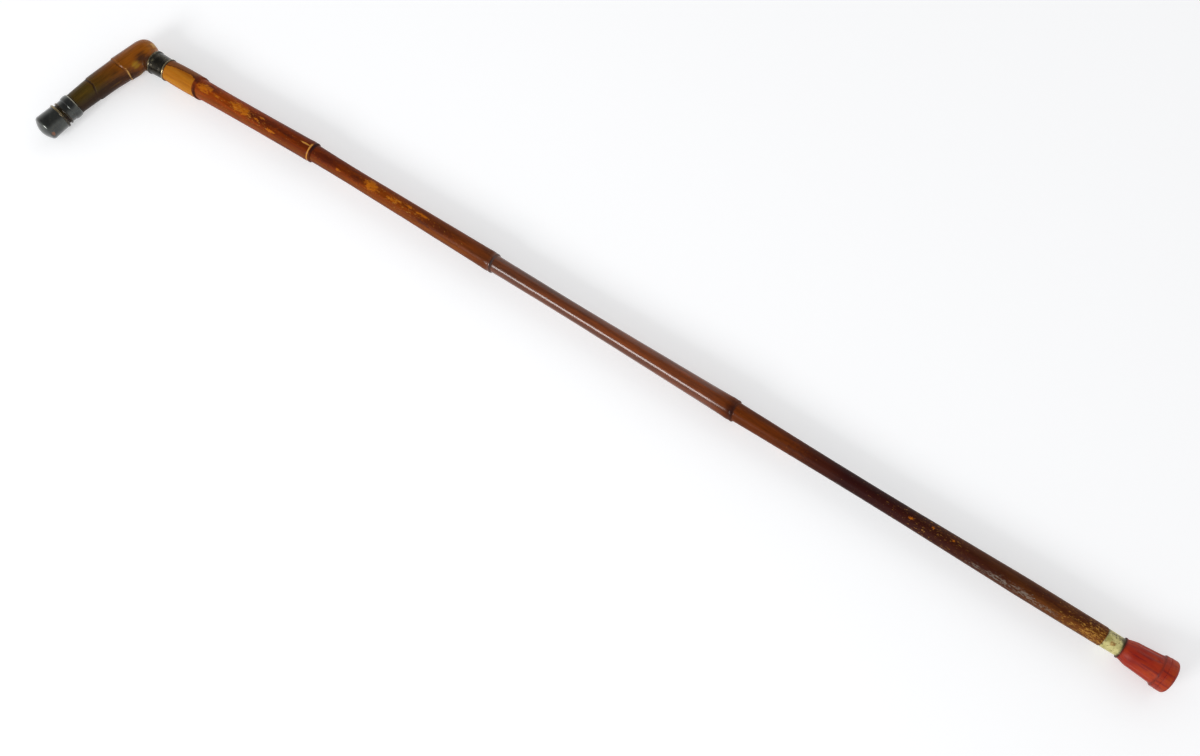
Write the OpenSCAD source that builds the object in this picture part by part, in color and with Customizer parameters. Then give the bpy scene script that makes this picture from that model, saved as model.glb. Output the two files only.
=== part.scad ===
// Walking cane with a stepped bamboo shaft, a horn L-handle, silver mounts and a rubber tip.
// It lies flat: +X runs up the shaft from the ground face of the tip, +Y is the side that the
// handle points to, and +Z is up. The origin is the centre of the tip's ground face. Millimetres.

/* [Shaft] */
// Diameter of the shaft at the top edge of the ferrule
shaft_foot_d = 13.7; // [12:0.1:16]
// Diameter of the long swelling above the ferrule
foot_swell_d = 14.3; // [13:0.1:17]
// Distance of that swelling from the ferrule's top edge
foot_swell_l = 58; // [40:1:80]
// Length of the lowest internode, from the ferrule to knot 1
internode_1_l = 281.5; // [220:0.5:340]
// Length of the internode from knot 1 to knot 2
internode_2_l = 205.5; // [160:0.5:250]
// Length of the internode from knot 2 to knot 3
internode_3_l = 166; // [120:0.5:200]
// Length of the internode from knot 3 to knot 4
internode_4_l = 107; // [80:0.5:140]
// Length of the peeled internode from knot 4 to the neck collar
internode_5_l = 31.3; // [24:0.1:45]
// Waist diameter of internode 1
waist_1_d = 12.3; // [10.5:0.1:13.5]
// Waist diameter of internode 2
waist_2_d = 12.7; // [11:0.1:14]
// Waist diameter of internode 3
waist_3_d = 12.9; // [11:0.1:14.5]
// Waist diameter of internode 4
waist_4_d = 14.9; // [12.5:0.1:15.5]
// Largest diameter of the peeled internode 5
top_swell_d = 17.9; // [17.6:0.1:20]
// Diameter of the lip at knot 1
knot_1_d = 15.9; // [14:0.1:18]
// Diameter of the lip at knot 2
knot_2_d = 15.1; // [14:0.1:17]
// Diameter of the lip at knot 3
knot_3_d = 15.6; // [15:0.1:17]
// Diameter of the lip at knot 4
knot_4_d = 17.5; // [16.5:0.1:19]
// Step in radius from a knot's lip down to the shaft that comes out of it
knot_step = 1.0; // [0.4:0.05:1.3]
// Angle by which the shaft leans towards the handle above knot 3
upper_lean = 1.8; // [0:0.1:4]
// Slant of knot 1, with the upper side of its ring nearer the handle
knot_1_slant = 15; // [0:1:20]
// Slant of knot 2
knot_2_slant = 10; // [0:1:20]
// Slant of knot 4
knot_4_slant = 17; // [0:1:20]

/* [Ferrule] */
// Length of the brass ferrule
ferrule_l = 42.2; // [38:0.1:50]
// Outer diameter at its top edge
ferrule_top_d = 13.3; // [12:0.1:13.6]
// Outer diameter at its foot
ferrule_foot_d = 11.8; // [10.5:0.1:12]
// Thickness of the brass
ferrule_wall = 0.6; // [0.4:0.05:0.9]
// Thickness of the iron plug in its foot
ferrule_plug_t = 4; // [2:0.1:6]
// Distance of the two nails below the ferrule's top edge
nail_drop = 5.5; // [3.5:0.1:7]
// Diameter of a nail's shank
nail_d = 1.2; // [0.9:0.1:1.5]
// Diameter of a nail's head
nail_head_d = 2.2; // [1.8:0.1:3]
// Thickness of a nail's head
nail_head_t = 0.5; // [0.3:0.05:0.8]
// Length of a nail under its head
nail_l = 4.4; // [3:0.1:5]

/* [Rubber tip] */
// Length of the tip from the ground face to its mouth
tip_l = 36; // [30:0.5:38]
// Thickness of rubber between the ground and the washer
tip_floor_t = 5; // [4:0.1:7]
// Wall of rubber at the thin lip of the mouth
tip_lip_wall = 0.65; // [0.5:0.05:1.2]
// Length of the rounded shoulder below the lip
tip_shoulder_l = 9.5; // [5:0.1:12]
// Diameter at the shoulder under the lip
tip_shoulder_d = 18; // [16:0.1:19.5]
// Diameter of the barrel just above the flange
tip_barrel_d = 20.4; // [18.5:0.1:21.5]
// Diameter of the flange, which is also the height at which the cane lies
tip_flange_d = 23.2; // [22:0.1:30]
// Height of the flange
tip_flange_h = 9.6; // [7.5:0.1:12]
// Place of the fine groove round the flange
tip_groove_x = 6.5; // [4:0.1:6.7]
// Radius of the worn edge at the ground
tip_edge_r = 2.4; // [1.2:0.1:3]
// Length of the cove between flange and barrel
tip_cove_l = 2.4; // [1:0.1:4]
// Number of flutes round the barrel
tip_flutes = 12; // [6:1:16]
// Depth of a flute
tip_flute_depth = 0.3; // [0.2:0.05:0.6]
// Thickness of the steel washer at the bottom of the socket
washer_t = 1; // [0.6:0.1:1.6]
// Hole through the washer
washer_bore_d = 4.5; // [3:0.1:6]

/* [Neck] */
// Length of the silver neck collar
collar_l = 15; // [12:0.1:20]
// Outer diameter of the collar at the shaft
collar_foot_d = 16.8; // [15.5:0.1:17.6]
// Outer diameter of the collar at the handle
collar_top_d = 18; // [17.7:0.1:20]
// Thickness of the sheet silver of the collar, the band and the cap
silver_t = 0.6; // [0.4:0.05:0.9]
// Length of the collar that covers the handle's neck
neck_spigot_l = 7.5; // [5:0.1:9]
// Width of the collar's upper rim
collar_upper_rim_w = 2.2; // [1.2:0.1:3]
// Width of the collar's lower rim
collar_lower_rim_w = 1.6; // [1:0.1:2.4]
// Height by which a thin rim stands above the sheet
rim_h = 0.55; // [0.3:0.05:0.9]
// Diameter of the hardwood dowel between shaft and handle
dowel_d = 8; // [6:0.1:9]
// Depth of the dowel in the shaft
dowel_in_shaft = 28; // [20:0.5:40]
// Depth of the dowel in the handle
dowel_in_handle = 21; // [15:0.5:24]

/* [Handle] */
// Largest diameter of the handle, at its heel
heel_d = 22.8; // [21.5:0.1:25]
// Height of the heel's centre above the collar
heel_rise = 7.6; // [6.5:0.1:9]
// Distance that the heel stands out behind the shaft's axis
heel_back = 11.5; // [10:0.1:14]
// Length of the heel's rounded end
heel_round_l = 12; // [8:0.1:14]
// Slope of the handle's centre line at the heel
heel_slope = 19; // [10:0.5:24]
// Height of the handle's centre line above the collar where the end band starts
grip_rise = 28.4; // [24:0.1:33]
// Reach of the handle from the shaft's axis to the end band
grip_reach = 62; // [54:0.5:72]
// Slope of the handle's centre line at the end band
grip_end_slope = 10; // [6:0.5:16]
// Diameter of the handle at the end band
grip_end_d = 17.2; // [16.6:0.1:19]
// Place of the first carved knot along the handle, as a share of its length
grip_knot_1_at = 0.42; // [0.34:0.01:0.5]
// Place of the second carved knot along the handle, as a share of its length
grip_knot_2_at = 0.7; // [0.6:0.01:0.8]
// Step in radius at a carved knot
grip_knot_step = 0.5; // [0.2:0.05:0.8]
// Length of the silver band round the handle's end
band_l = 11.2; // [9:0.1:16]
// Outer diameter of the band
band_d = 17.6; // [16.4:0.1:19]
// Width of the band's upper rim
band_upper_rim_w = 6.2; // [2:0.1:7]
// Height by which that rim stands above the band
band_upper_rim_h = 0.85; // [0.4:0.05:1.2]
// Width of the band's lower rim
band_lower_rim_w = 1.5; // [1:0.1:2]
// Gap between band and cap, where the horn shows
cap_gap = 1.7; // [0.6:0.1:2.5]
// Length of the silver cap
cap_l = 19.8; // [16:0.1:26]
// Outer diameter of the cap at its mouth
cap_mouth_d = 19; // [18.7:0.1:20]
// Outer diameter of the cap at its shoulder
cap_d = 20.2; // [20:0.1:22]
// Height of the cap's shallow dome
cap_dome_h = 2.4; // [1.5:0.1:4]
// Radius of the cap's rounded shoulder
cap_shoulder_r = 2.2; // [1.5:0.1:4]
// Width of the rim at the cap's mouth
cap_rim_w = 1.8; // [1.2:0.1:2.6]
// Length of the handle's spigot inside the cap
cap_spigot_l = 9; // [6:0.1:12]

/* [Hidden] */
$fn = 64;
// Room left for glue between two pieces, and between the rubber and the brass
glue_gap = 0.05;
rubber_gap = 0.05;
// Room between two soldered or nailed pieces
solder_gap = 0.02;
// How far a shape runs on inside another that it is joined to
joined = 4;
profile_steps = 9;

// Places along the shaft
ferrule_foot_x = tip_floor_t + washer_t;
ferrule_top_x = ferrule_foot_x + ferrule_l;
knot_1_x = ferrule_top_x + internode_1_l;
knot_2_x = knot_1_x + internode_2_l;
knot_3_x = knot_2_x + internode_3_l;
knot_4_x = knot_3_x + internode_4_l;
collar_foot_x = knot_4_x + internode_5_l;
collar_top_x = collar_foot_x + collar_l;
// Height at which the shaft's end and the handle's neck meet inside the collar
neck_joint_x = collar_top_x - neck_spigot_l;

// Outer radius of the ferrule at a place along the shaft
function ferrule_r(x) =
    ferrule_foot_d / 2 + (ferrule_top_d - ferrule_foot_d) / 2 * (x - ferrule_foot_x) / ferrule_l;

// Outer radius of the neck collar at a place along the shaft
function collar_r(x) =
    collar_foot_d / 2 + (collar_top_d - collar_foot_d) / 2 * (x - collar_foot_x) / collar_l;

// A quarter round of radius c on the lower edge of a knot of radius r at x, from outside in
function lip_points(r, x, c) = [for (a = [90:-30:0]) [r - c + c * sin(a), x + c - c * cos(a)]];

// Profile of one internode, thick at its lower knot, drawn in at its waist and a little thicker
// again below the next knot. waist_at is the waist's place as a share of the length.
function internode_points(x0, x1, low_r, waist_r, high_r, waist_at) = [
    for (i = [1:profile_steps]) let (t = i / profile_steps) [
        t < waist_at
            ? waist_r + (low_r - waist_r) * pow(1 - t / waist_at, 1.3)
            : waist_r + (high_r - waist_r) * pow((t - waist_at) / (1 - waist_at), 2),
        x0 + (x1 - x0) * t
    ]
];

// A half-round wire laid round a cone whose radius is r0 at x0 and r1 at x1
function half_round_points(x0, x1, r0, r1, h) = [
    for (a = [180:-15:0]) let (t = (1 + cos(a)) / 2) [
        r0 + (r1 - r0) * t + solder_gap + h * sin(a),
        x0 + (x1 - x0) * t
    ]
];

// Turns a profile of [radius, place] points round the X axis
module turned(points) {
    rotate([0, 90, 0]) rotate_extrude($fn = 96) polygon(points);
}

// Carries the pieces above knot 3, where the shaft leans towards the handle
module above_knot_3() {
    translate([knot_3_x, 0, 0]) rotate([0, 0, upper_lean]) translate([-knot_3_x, 0, 0]) children();
}

// Carries the pieces on the handle's free end. Their X runs out along the handle's centre line.
module at_handle_end() {
    above_knot_3()
        translate([collar_top_x + grip_rise, grip_reach, 0])
            rotate([0, 0, 90 - grip_end_slope])
                children();
}

// Places the two nails on the exposed brass, one on each side
module at_nails() {
    nail_x = ferrule_top_x - nail_drop;
    for (a = [-25, 155])
        rotate([a, 0, 0]) translate([nail_x, 0, ferrule_r(nail_x) + solder_gap]) children();
}

module nail_hole() {
    translate([0, 0, -nail_l - solder_gap])
        cylinder(h = nail_l + 2 * ferrule_wall, d = nail_d + 2 * solder_gap, $fn = 24);
}

// Bore for the dowel, from the joint in the neck down into the shaft or up into the handle
module dowel_bore(depth, up) {
    translate([neck_joint_x, 0, 0]) rotate([0, up ? 90 : -90, 0])
        translate([0, 0, -1]) cylinder(h = depth + 1 + glue_gap, d = dowel_d + 2 * glue_gap);
}

// Cuts away what lies below a knot of radius r, along its slanted ring with a rounded edge
module below_knot(x, r, slant) {
    translate([x, 0, 0]) rotate([0, slant, 0]) translate([-x, 0, 0])
        turned(concat([[0, x - 2 * joined], [2 * r, x - 2 * joined], [2 * r, x + knot_step / 2]],
                      lip_points(r, x, knot_step / 2), [[0, x]]));
}

// One internode from its lower knot, which stands out over the one below, to the next knot.
// It runs on inside the next one.
module internode(x0, x1, low_d, slant, waist_d, high_d, waist_at) {
    high_r = high_d / 2 - knot_step;
    difference() {
        turned(concat(
            [[0, x0 - joined], [low_d / 2, x0 - joined], [low_d / 2, x0]],
            internode_points(x0, x1, low_d / 2, waist_d / 2, high_r, waist_at),
            [[high_r, x1 + joined], [0, x1 + joined]]
        ));
        below_knot(x0, low_d / 2, slant);
    }
}

// The lowest internode, turned down at its foot to fit the ferrule
module internode_1() {
    spigot_gap = ferrule_wall + glue_gap;
    spigot_x = ferrule_foot_x + ferrule_plug_t;
    swell_x = ferrule_top_x + foot_swell_l;
    high_r = knot_1_d / 2 - knot_step;
    turned(concat(
        [[0, spigot_x], [ferrule_r(spigot_x) - spigot_gap, spigot_x],
         [ferrule_r(ferrule_top_x) - spigot_gap, ferrule_top_x],
         [shaft_foot_d / 2, ferrule_top_x]],
        [for (i = [1:4]) let (t = i / 4)
            [shaft_foot_d / 2 + (foot_swell_d - shaft_foot_d) / 2 * sin(90 * t),
             ferrule_top_x + foot_swell_l * t]],
        internode_points(swell_x, knot_1_x, foot_swell_d / 2, waist_1_d / 2, high_r, 0.5),
        [[high_r, knot_1_x + joined], [0, knot_1_x + joined]]
    ));
}

// The peeled internode above knot 4, turned down at its end to fit the neck collar
module internode_5() {
    neck_gap = silver_t + glue_gap;
    low_r = knot_4_d / 2;
    end_r = collar_foot_d / 2;
    difference() {
        turned(concat(
            [[0, knot_4_x - joined], [low_r, knot_4_x - joined], [low_r, knot_4_x]],
            [for (i = [1:5]) let (t = i / 5)
                [low_r + (end_r - low_r) * t
                    + (top_swell_d / 2 - (low_r + end_r) / 2) * sin(180 * t),
                 knot_4_x + internode_5_l * t]],
            [[end_r - neck_gap, collar_foot_x], [collar_r(neck_joint_x) - neck_gap, neck_joint_x],
             [0, neck_joint_x]]
        ));
        below_knot(knot_4_x, low_r, knot_4_slant);
    }
}

// The bamboo: internodes 1 to 3 are straight, and 4 and 5 lean
module shaft() {
    color("saddlebrown") difference() {
        union() {
            internode_1();
            internode(knot_1_x, knot_2_x, knot_1_d, knot_1_slant, waist_2_d, knot_2_d, 0.7);
            internode(knot_2_x, knot_3_x, knot_2_d, knot_2_slant, waist_3_d, knot_3_d, 0.8);
            above_knot_3() {
                internode(knot_3_x, knot_4_x, knot_3_d, 0, waist_4_d, knot_4_d, 0.6);
                internode_5();
            }
        }
        above_knot_3() dowel_bore(dowel_in_shaft, false);
        at_nails() nail_hole();
    }
}

// A drawn brass tube, drawn in towards the ground
module ferrule() {
    color("darkkhaki") difference() {
        turned([
            [ferrule_foot_d / 2 - ferrule_wall, ferrule_foot_x],
            [ferrule_foot_d / 2, ferrule_foot_x],
            [ferrule_top_d / 2, ferrule_top_x],
            [ferrule_top_d / 2 - ferrule_wall, ferrule_top_x]
        ]);
        at_nails() nail_hole();
    }
}

// The iron plug that is brazed into the ferrule's foot and takes the wear when no tip is on
module ferrule_plug() {
    gap = ferrule_wall + solder_gap;
    top_x = ferrule_foot_x + ferrule_plug_t - glue_gap;
    color("dimgray") turned([
        [0, ferrule_foot_x],
        [ferrule_r(ferrule_foot_x) - gap, ferrule_foot_x],
        [ferrule_r(top_x) - gap, top_x],
        [0, top_x]
    ]);
}

// Two nails through the ferrule into the bamboo
module ferrule_nails() {
    color("goldenrod") at_nails() {
        translate([0, 0, -nail_l + nail_d]) cylinder(h = nail_l - nail_d + 0.1, d = nail_d, $fn = 24);
        translate([0, 0, -nail_l]) cylinder(h = nail_d + 0.1, d1 = nail_d / 3, d2 = nail_d, $fn = 24);
        cylinder(h = nail_head_t / 2, d = nail_head_d, $fn = 32);
        translate([0, 0, nail_head_t / 2])
            cylinder(h = nail_head_t / 2, d1 = nail_head_d, d2 = nail_head_d / 2, $fn = 32);
    }
}

// Section of a ring groove of middle radius r and depth d in the ground face
function ring_groove(r, d) = [[r - 1, 0], [r - 0.5, d], [r + 0.5, d], [r + 1, 0]];

// The moulded tip: a ground face with ring grooves, a flange with one fine groove round it, a cove
// up to the fluted barrel, and a long shoulder that thins out to a lip on the brass
module rubber_tip() {
    flange_r = tip_flange_d / 2;
    face_r = flange_r - tip_edge_r;
    barrel_r = tip_barrel_d / 2;
    shoulder_r = tip_shoulder_d / 2;
    mouth_r = ferrule_r(tip_l) + rubber_gap;
    lip_r = mouth_r + tip_lip_wall;
    shoulder_x = tip_l - tip_shoulder_l;
    barrel_x = tip_flange_h + tip_cove_l;
    tread = 1.2;
    groove = 0.35;
    flute_r = 3.5;
    taper = atan((barrel_r - shoulder_r) / (shoulder_x - barrel_x));
    color("firebrick") difference() {
        turned(concat(
            [[0, 0]], ring_groove(face_r * 0.48, tread), ring_groove(face_r * 0.82, tread),
            [for (a = [0:15:90])
                [face_r + tip_edge_r * sin(a), tip_edge_r - tip_edge_r * cos(a)]],
            [[flange_r, tip_groove_x - groove],
             [flange_r - groove, tip_groove_x], [flange_r - groove / 2, tip_groove_x + groove],
             [flange_r - groove / 2, tip_flange_h - groove], [flange_r - groove, tip_flange_h]],
            [for (a = [30:20:90])
                [barrel_r + (flange_r - groove - barrel_r) * (1 - sin(a)),
                 barrel_x - tip_cove_l * cos(a)]],
            [for (t = [0:1 / 6:0.99])
                [lip_r + (shoulder_r - lip_r) * (1 + cos(180 * t)) / 2,
                 shoulder_x + tip_shoulder_l * t]],
            [[lip_r, tip_l], [mouth_r, tip_l],
             [ferrule_r(ferrule_foot_x) + rubber_gap, ferrule_foot_x],
             [ferrule_r(ferrule_foot_x) + rubber_gap, tip_floor_t], [0, tip_floor_t]]
        ));
        for (i = [0:tip_flutes - 1])
            rotate([(i + 0.5) * 360 / tip_flutes, 0, 0])
                translate([barrel_x, 0, barrel_r + flute_r - tip_flute_depth])
                    rotate([0, 90 + taper, 0])
                        cylinder(h = shoulder_x - barrel_x + joined, r = flute_r, $fn = 48);
    }
}

// The washer that keeps the ferrule from cutting through the rubber
module tip_washer() {
    color("silver") turned([
        [washer_bore_d / 2, tip_floor_t],
        [ferrule_r(ferrule_foot_x) - glue_gap, tip_floor_t],
        [ferrule_r(ferrule_foot_x) - glue_gap, ferrule_foot_x],
        [washer_bore_d / 2, ferrule_foot_x]
    ]);
}

// The dowel glued into shaft and handle, with both ends chamfered
module neck_dowel() {
    chamfer = dowel_d / 8;
    foot_x = neck_joint_x - dowel_in_shaft;
    top_x = neck_joint_x + dowel_in_handle;
    color("burlywood") above_knot_3() turned([
        [0, foot_x], [dowel_d / 2 - chamfer, foot_x], [dowel_d / 2, foot_x + chamfer],
        [dowel_d / 2, top_x - chamfer], [dowel_d / 2 - chamfer, top_x], [0, top_x]
    ]);
}

// The tapered silver sleeve over the joint of shaft and handle
module neck_collar() {
    color("slategray") above_knot_3() turned([
        [collar_foot_d / 2 - silver_t, collar_foot_x], [collar_foot_d / 2, collar_foot_x],
        [collar_top_d / 2, collar_top_x], [collar_top_d / 2 - silver_t, collar_top_x]
    ]);
}

// The half-round wire soldered round the collar at the handle
module neck_collar_upper_rim() {
    x0 = collar_top_x - collar_upper_rim_w;
    color("lightslategray") above_knot_3()
        turned(half_round_points(x0, collar_top_x, collar_r(x0), collar_r(collar_top_x), rim_h));
}

// The half-round wire soldered round the collar at the shaft
module neck_collar_lower_rim() {
    x1 = collar_foot_x + collar_lower_rim_w;
    color("gainsboro") above_knot_3()
        turned(half_round_points(collar_foot_x, x1, collar_r(collar_foot_x), collar_r(x1), rim_h));
}

// Centre line of the grip, a cubic curve from the heel's end to the end band, as [x, y] points
grip_p0 = [heel_rise, -heel_back];
grip_p3 = [grip_rise, grip_reach];
grip_l = norm(grip_p3 - grip_p0);
grip_p1 = grip_p0 + grip_l / 3 * [sin(heel_slope), cos(heel_slope)];
grip_p2 = grip_p3 - grip_l / 3 * [sin(grip_end_slope), cos(grip_end_slope)];

function grip_point(t) =
    pow(1 - t, 3) * grip_p0 + 3 * t * pow(1 - t, 2) * grip_p1
    + 3 * t * t * (1 - t) * grip_p2 + pow(t, 3) * grip_p3;

function grip_run(t) =
    3 * pow(1 - t, 2) * (grip_p1 - grip_p0) + 6 * t * (1 - t) * (grip_p2 - grip_p1)
    + 3 * t * t * (grip_p3 - grip_p2);

// Rise of the radius towards a carved knot at place k, counted from the place j before it
function knot_rise(t, j, k) = t > j && t <= k ? grip_knot_step * pow((t - j) / (k - j), 2) : 0;

// How full the heel's rounded end is: 2 is an ellipse
heel_fullness = 2.5;

// Radius of the grip: a straight taper, the rise at each carved knot, and the rounded heel
function grip_r(t) =
    let (round_t = heel_round_l / grip_l,
         taper = heel_d / 2 - grip_knot_step / 2
                 + (grip_end_d - heel_d + grip_knot_step) / 2 * max(0, t - round_t) / (1 - round_t),
         knots = knot_rise(t, round_t, grip_knot_1_at)
                 + knot_rise(t, grip_knot_1_at, grip_knot_2_at),
         heel = t < round_t ? pow(1 - pow(1 - t / round_t, heel_fullness), 1 / heel_fullness) : 1)
    (taper + knots) * heel;

grip_sides = 44;
// Length of a carved knot's step, as a share of the grip
knot_edge = 0.006;
grip_stations = concat(
    [for (a = [12:13:90]) heel_round_l / grip_l * (1 - cos(a))],
    [for (i = [1:5]) heel_round_l / grip_l + (grip_knot_1_at - heel_round_l / grip_l) * i / 5],
    [for (i = [0:5])
        grip_knot_1_at + knot_edge + (grip_knot_2_at - grip_knot_1_at - knot_edge) * i / 5],
    [for (i = [0:4]) grip_knot_2_at + knot_edge + (1 - grip_knot_2_at - knot_edge) * i / 4]
);

// The carved grip as one loft of round sections square to its centre line
module grip() {
    n = grip_sides;
    last = len(grip_stations) - 1;
    points = [
        for (t = grip_stations)
            let (c = grip_point(t), d = grip_run(t) / norm(grip_run(t)), r = grip_r(t))
            for (k = [0:n - 1])
                let (a = 360 * k / n)
                [c[0] + r * cos(a) * d[1], c[1] - r * cos(a) * d[0], r * sin(a)]
    ];
    sides = [
        for (s = [0:last - 1], k = [0:n - 1])
            let (a = s * n + k, b = s * n + (k + 1) % n)
            each [[a, b, b + n], [a, b + n, a + n]]
    ];
    ends = [[for (k = [n - 1:-1:0]) k], [for (k = [0:n - 1]) last * n + k]];
    translate([collar_top_x, 0, 0]) polyhedron(points, concat(sides, ends));
}

// The horn handle: the grip, a short neck that fits the collar, and a spigot for band and cap
module handle() {
    neck_gap = silver_t + glue_gap;
    grip_over_neck = grip_point(heel_back / grip_l)[0];
    spigot_r = band_d / 2 - silver_t - glue_gap;
    spigot_l = band_l + cap_gap + cap_spigot_l;
    color("peru") difference() {
        union() {
            above_knot_3() {
                difference() {
                    grip();
                    translate([collar_top_x - heel_d, -heel_d, -heel_d])
                        cube([heel_d, 2 * heel_d, 2 * heel_d]);
                }
                turned([
                    [0, neck_joint_x], [collar_r(neck_joint_x) - neck_gap, neck_joint_x],
                    [collar_top_d / 2 - neck_gap, collar_top_x], [collar_top_d / 2, collar_top_x],
                    [(collar_top_d + heel_d) / 4, collar_top_x + grip_over_neck * 0.8],
                    [0, collar_top_x + grip_over_neck]
                ]);
            }
            at_handle_end() turned([
                [0, -joined], [spigot_r, -joined], [spigot_r, spigot_l - 1],
                [spigot_r - 1, spigot_l], [0, spigot_l]
            ]);
        }
        above_knot_3() dowel_bore(dowel_in_handle, true);
    }
}

// The plain silver band round the handle's end
module end_band() {
    color("slategray") at_handle_end() turned([
        [band_d / 2 - silver_t, 0], [band_d / 2, 0], [band_d / 2, band_l],
        [band_d / 2 - silver_t, band_l]
    ]);
}

// The broad half-round rim of the band, on the side of the grip
module end_band_upper_rim() {
    color("lightslategray") at_handle_end()
        turned(half_round_points(0, band_upper_rim_w, band_d / 2, band_d / 2, band_upper_rim_h));
}

// The thin rim of the band, on the side of the cap
module end_band_lower_rim() {
    color("lightslategray") at_handle_end()
        turned(half_round_points(band_l - band_lower_rim_w, band_l, band_d / 2, band_d / 2, rim_h));
}

cap_x = band_l + cap_gap;
cap_shoulder_x = cap_x + cap_l - cap_dome_h - cap_shoulder_r;

// Outer radius of the cap's wall at a place along the handle's end
function cap_r(x) =
    cap_mouth_d / 2 + (cap_d - cap_mouth_d) / 2 * (x - cap_x) / (cap_shoulder_x - cap_x);

// Profile of the cap over its shoulder to the dome, inset by the given amount
function cap_points(inset) = concat(
    [[cap_d / 2 - inset, cap_shoulder_x]],
    [for (a = [20:20:60])
        [cap_d / 2 - cap_shoulder_r + (cap_shoulder_r - inset) * cos(a),
         cap_shoulder_x + (cap_shoulder_r - inset) * sin(a)]],
    [for (i = [0:4]) let (t = i / 5, r = cap_d / 2 - cap_shoulder_r)
        [r * (1 - t) + (cap_shoulder_r - inset) * cos(75) * (1 - t),
         cap_x + cap_l - inset - cap_dome_h * pow(1 - t, 2)]],
    [[0, cap_x + cap_l - inset]]
);

// The pressed silver cap with a shallow dome
module end_cap() {
    inside = cap_points(silver_t);
    color("slategray") at_handle_end() turned(concat(
        [[cap_mouth_d / 2 - silver_t, cap_x], [cap_mouth_d / 2, cap_x]],
        cap_points(0),
        [for (i = [len(inside) - 1:-1:0]) inside[i]]
    ));
}

// The half-round rim at the mouth of the cap
module end_cap_rim() {
    x1 = cap_x + cap_rim_w;
    color("lightslategray") at_handle_end()
        turned(half_round_points(cap_x, x1, cap_r(cap_x), cap_r(x1), rim_h));
}

// The cement that fills the cap and holds it on the spigot
module end_cap_cement() {
    skin = silver_t + solder_gap;
    spigot_r = band_d / 2 - silver_t;
    color("sienna") at_handle_end() turned(concat(
        [[spigot_r, cap_x + solder_gap], [cap_r(cap_x + solder_gap) - skin, cap_x + solder_gap]],
        cap_points(skin),
        [[0, cap_x + cap_spigot_l + glue_gap], [spigot_r, cap_x + cap_spigot_l + glue_gap]]
    ));
}

shaft();
ferrule();
ferrule_plug();
ferrule_nails();
rubber_tip();
tip_washer();
neck_dowel();
neck_collar();
neck_collar_upper_rim();
neck_collar_lower_rim();
handle();
end_band();
end_band_upper_rim();
end_band_lower_rim();
end_cap();
end_cap_rim();
end_cap_cement();
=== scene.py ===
import math
import random
from collections import namedtuple

import bmesh
import bpy
import numpy as np
from mathutils import Matrix, Vector, noise


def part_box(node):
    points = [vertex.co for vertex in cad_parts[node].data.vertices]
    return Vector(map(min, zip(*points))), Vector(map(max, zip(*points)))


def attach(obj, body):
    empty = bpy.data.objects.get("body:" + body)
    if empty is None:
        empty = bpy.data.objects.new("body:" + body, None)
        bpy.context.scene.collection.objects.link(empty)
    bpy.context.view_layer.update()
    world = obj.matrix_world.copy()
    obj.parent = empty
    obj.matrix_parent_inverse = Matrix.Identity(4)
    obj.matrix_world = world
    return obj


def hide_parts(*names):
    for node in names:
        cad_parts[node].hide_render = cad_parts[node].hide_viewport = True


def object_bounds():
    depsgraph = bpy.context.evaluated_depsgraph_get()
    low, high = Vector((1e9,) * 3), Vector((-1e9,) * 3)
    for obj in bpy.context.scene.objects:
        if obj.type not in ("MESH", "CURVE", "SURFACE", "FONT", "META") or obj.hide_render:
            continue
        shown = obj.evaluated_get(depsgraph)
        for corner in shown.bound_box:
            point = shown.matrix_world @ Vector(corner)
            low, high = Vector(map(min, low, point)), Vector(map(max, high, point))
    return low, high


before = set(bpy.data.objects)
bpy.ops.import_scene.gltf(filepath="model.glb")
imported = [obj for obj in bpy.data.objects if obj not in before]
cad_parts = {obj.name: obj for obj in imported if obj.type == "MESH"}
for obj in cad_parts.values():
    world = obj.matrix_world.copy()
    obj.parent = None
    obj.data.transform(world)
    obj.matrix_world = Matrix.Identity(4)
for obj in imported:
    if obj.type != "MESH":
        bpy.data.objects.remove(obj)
cad_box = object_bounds()


# The bamboo shaft
# One length of stepped bamboo, scraped, stained red-brown and varnished, with a slanted lip at each
# knot. One side above knot 4 is peeled, and above knot 3 the cane leans a little to the handle.
mm = 0.001  # sizes and places are in millimetres, and those inside a finish in metres
ferrule_foot_x, ferrule_top_x = (corner.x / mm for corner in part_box("ferrule"))
shaft_foot_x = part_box("shaft")[0].x / mm
spigot_foot_r, spigot_top_r = 5.3, 6.0
cane_edge_r, cane_foot_r = 6.55, 6.85
swelling_l, swelling_h = 58, 0.3
first_low_r, first_waist_r, first_waist_at = 7.15, 6.15, 0.5
# place, diameter of the lip, slant of the ring in degrees
Knot = namedtuple("Knot", "x d slant")
knot_1, knot_2 = Knot(329.7, 15.9, 15), Knot(535.2, 15.1, 10)
knot_3, knot_4 = Knot(701.2, 15.6, 0), Knot(808.2, 17.5, 17)
knots = (knot_1, knot_2, knot_3, knot_4)
# diameter of the waist, and its place as a share of the internode, for internodes 2 to 4
waists = ((12.7, 0.7), (12.9, 0.8), (14.9, 0.6))
knot_step = 1.0
lip_round = 0.5
peeled_middle_r = 8.95
lean = math.radians(1.8)
collar_foot_x, collar_top_x = 839.5, 854.5
collar_foot_r, collar_top_r = 8.4, 9.0
neck_joint_x = 847.0
silver_t = 0.6
glue_gap = 0.05
neck_fit = silver_t + glue_gap
dowel_r = 4.0
bore_r = dowel_r + glue_gap
dowel_in_shaft = 28.0

above_knot_3 = (Matrix.Translation((knot_3.x, 0, 0)) @ Matrix.Rotation(lean, 4, "Z")
                @ Matrix.Translation((-knot_3.x, 0, 0)))


def collar_r(x):
    """Outer radius of the neck collar at a place along the shaft."""
    return np.interp(x, (collar_foot_x, collar_top_x), (collar_foot_r, collar_top_r))


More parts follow.
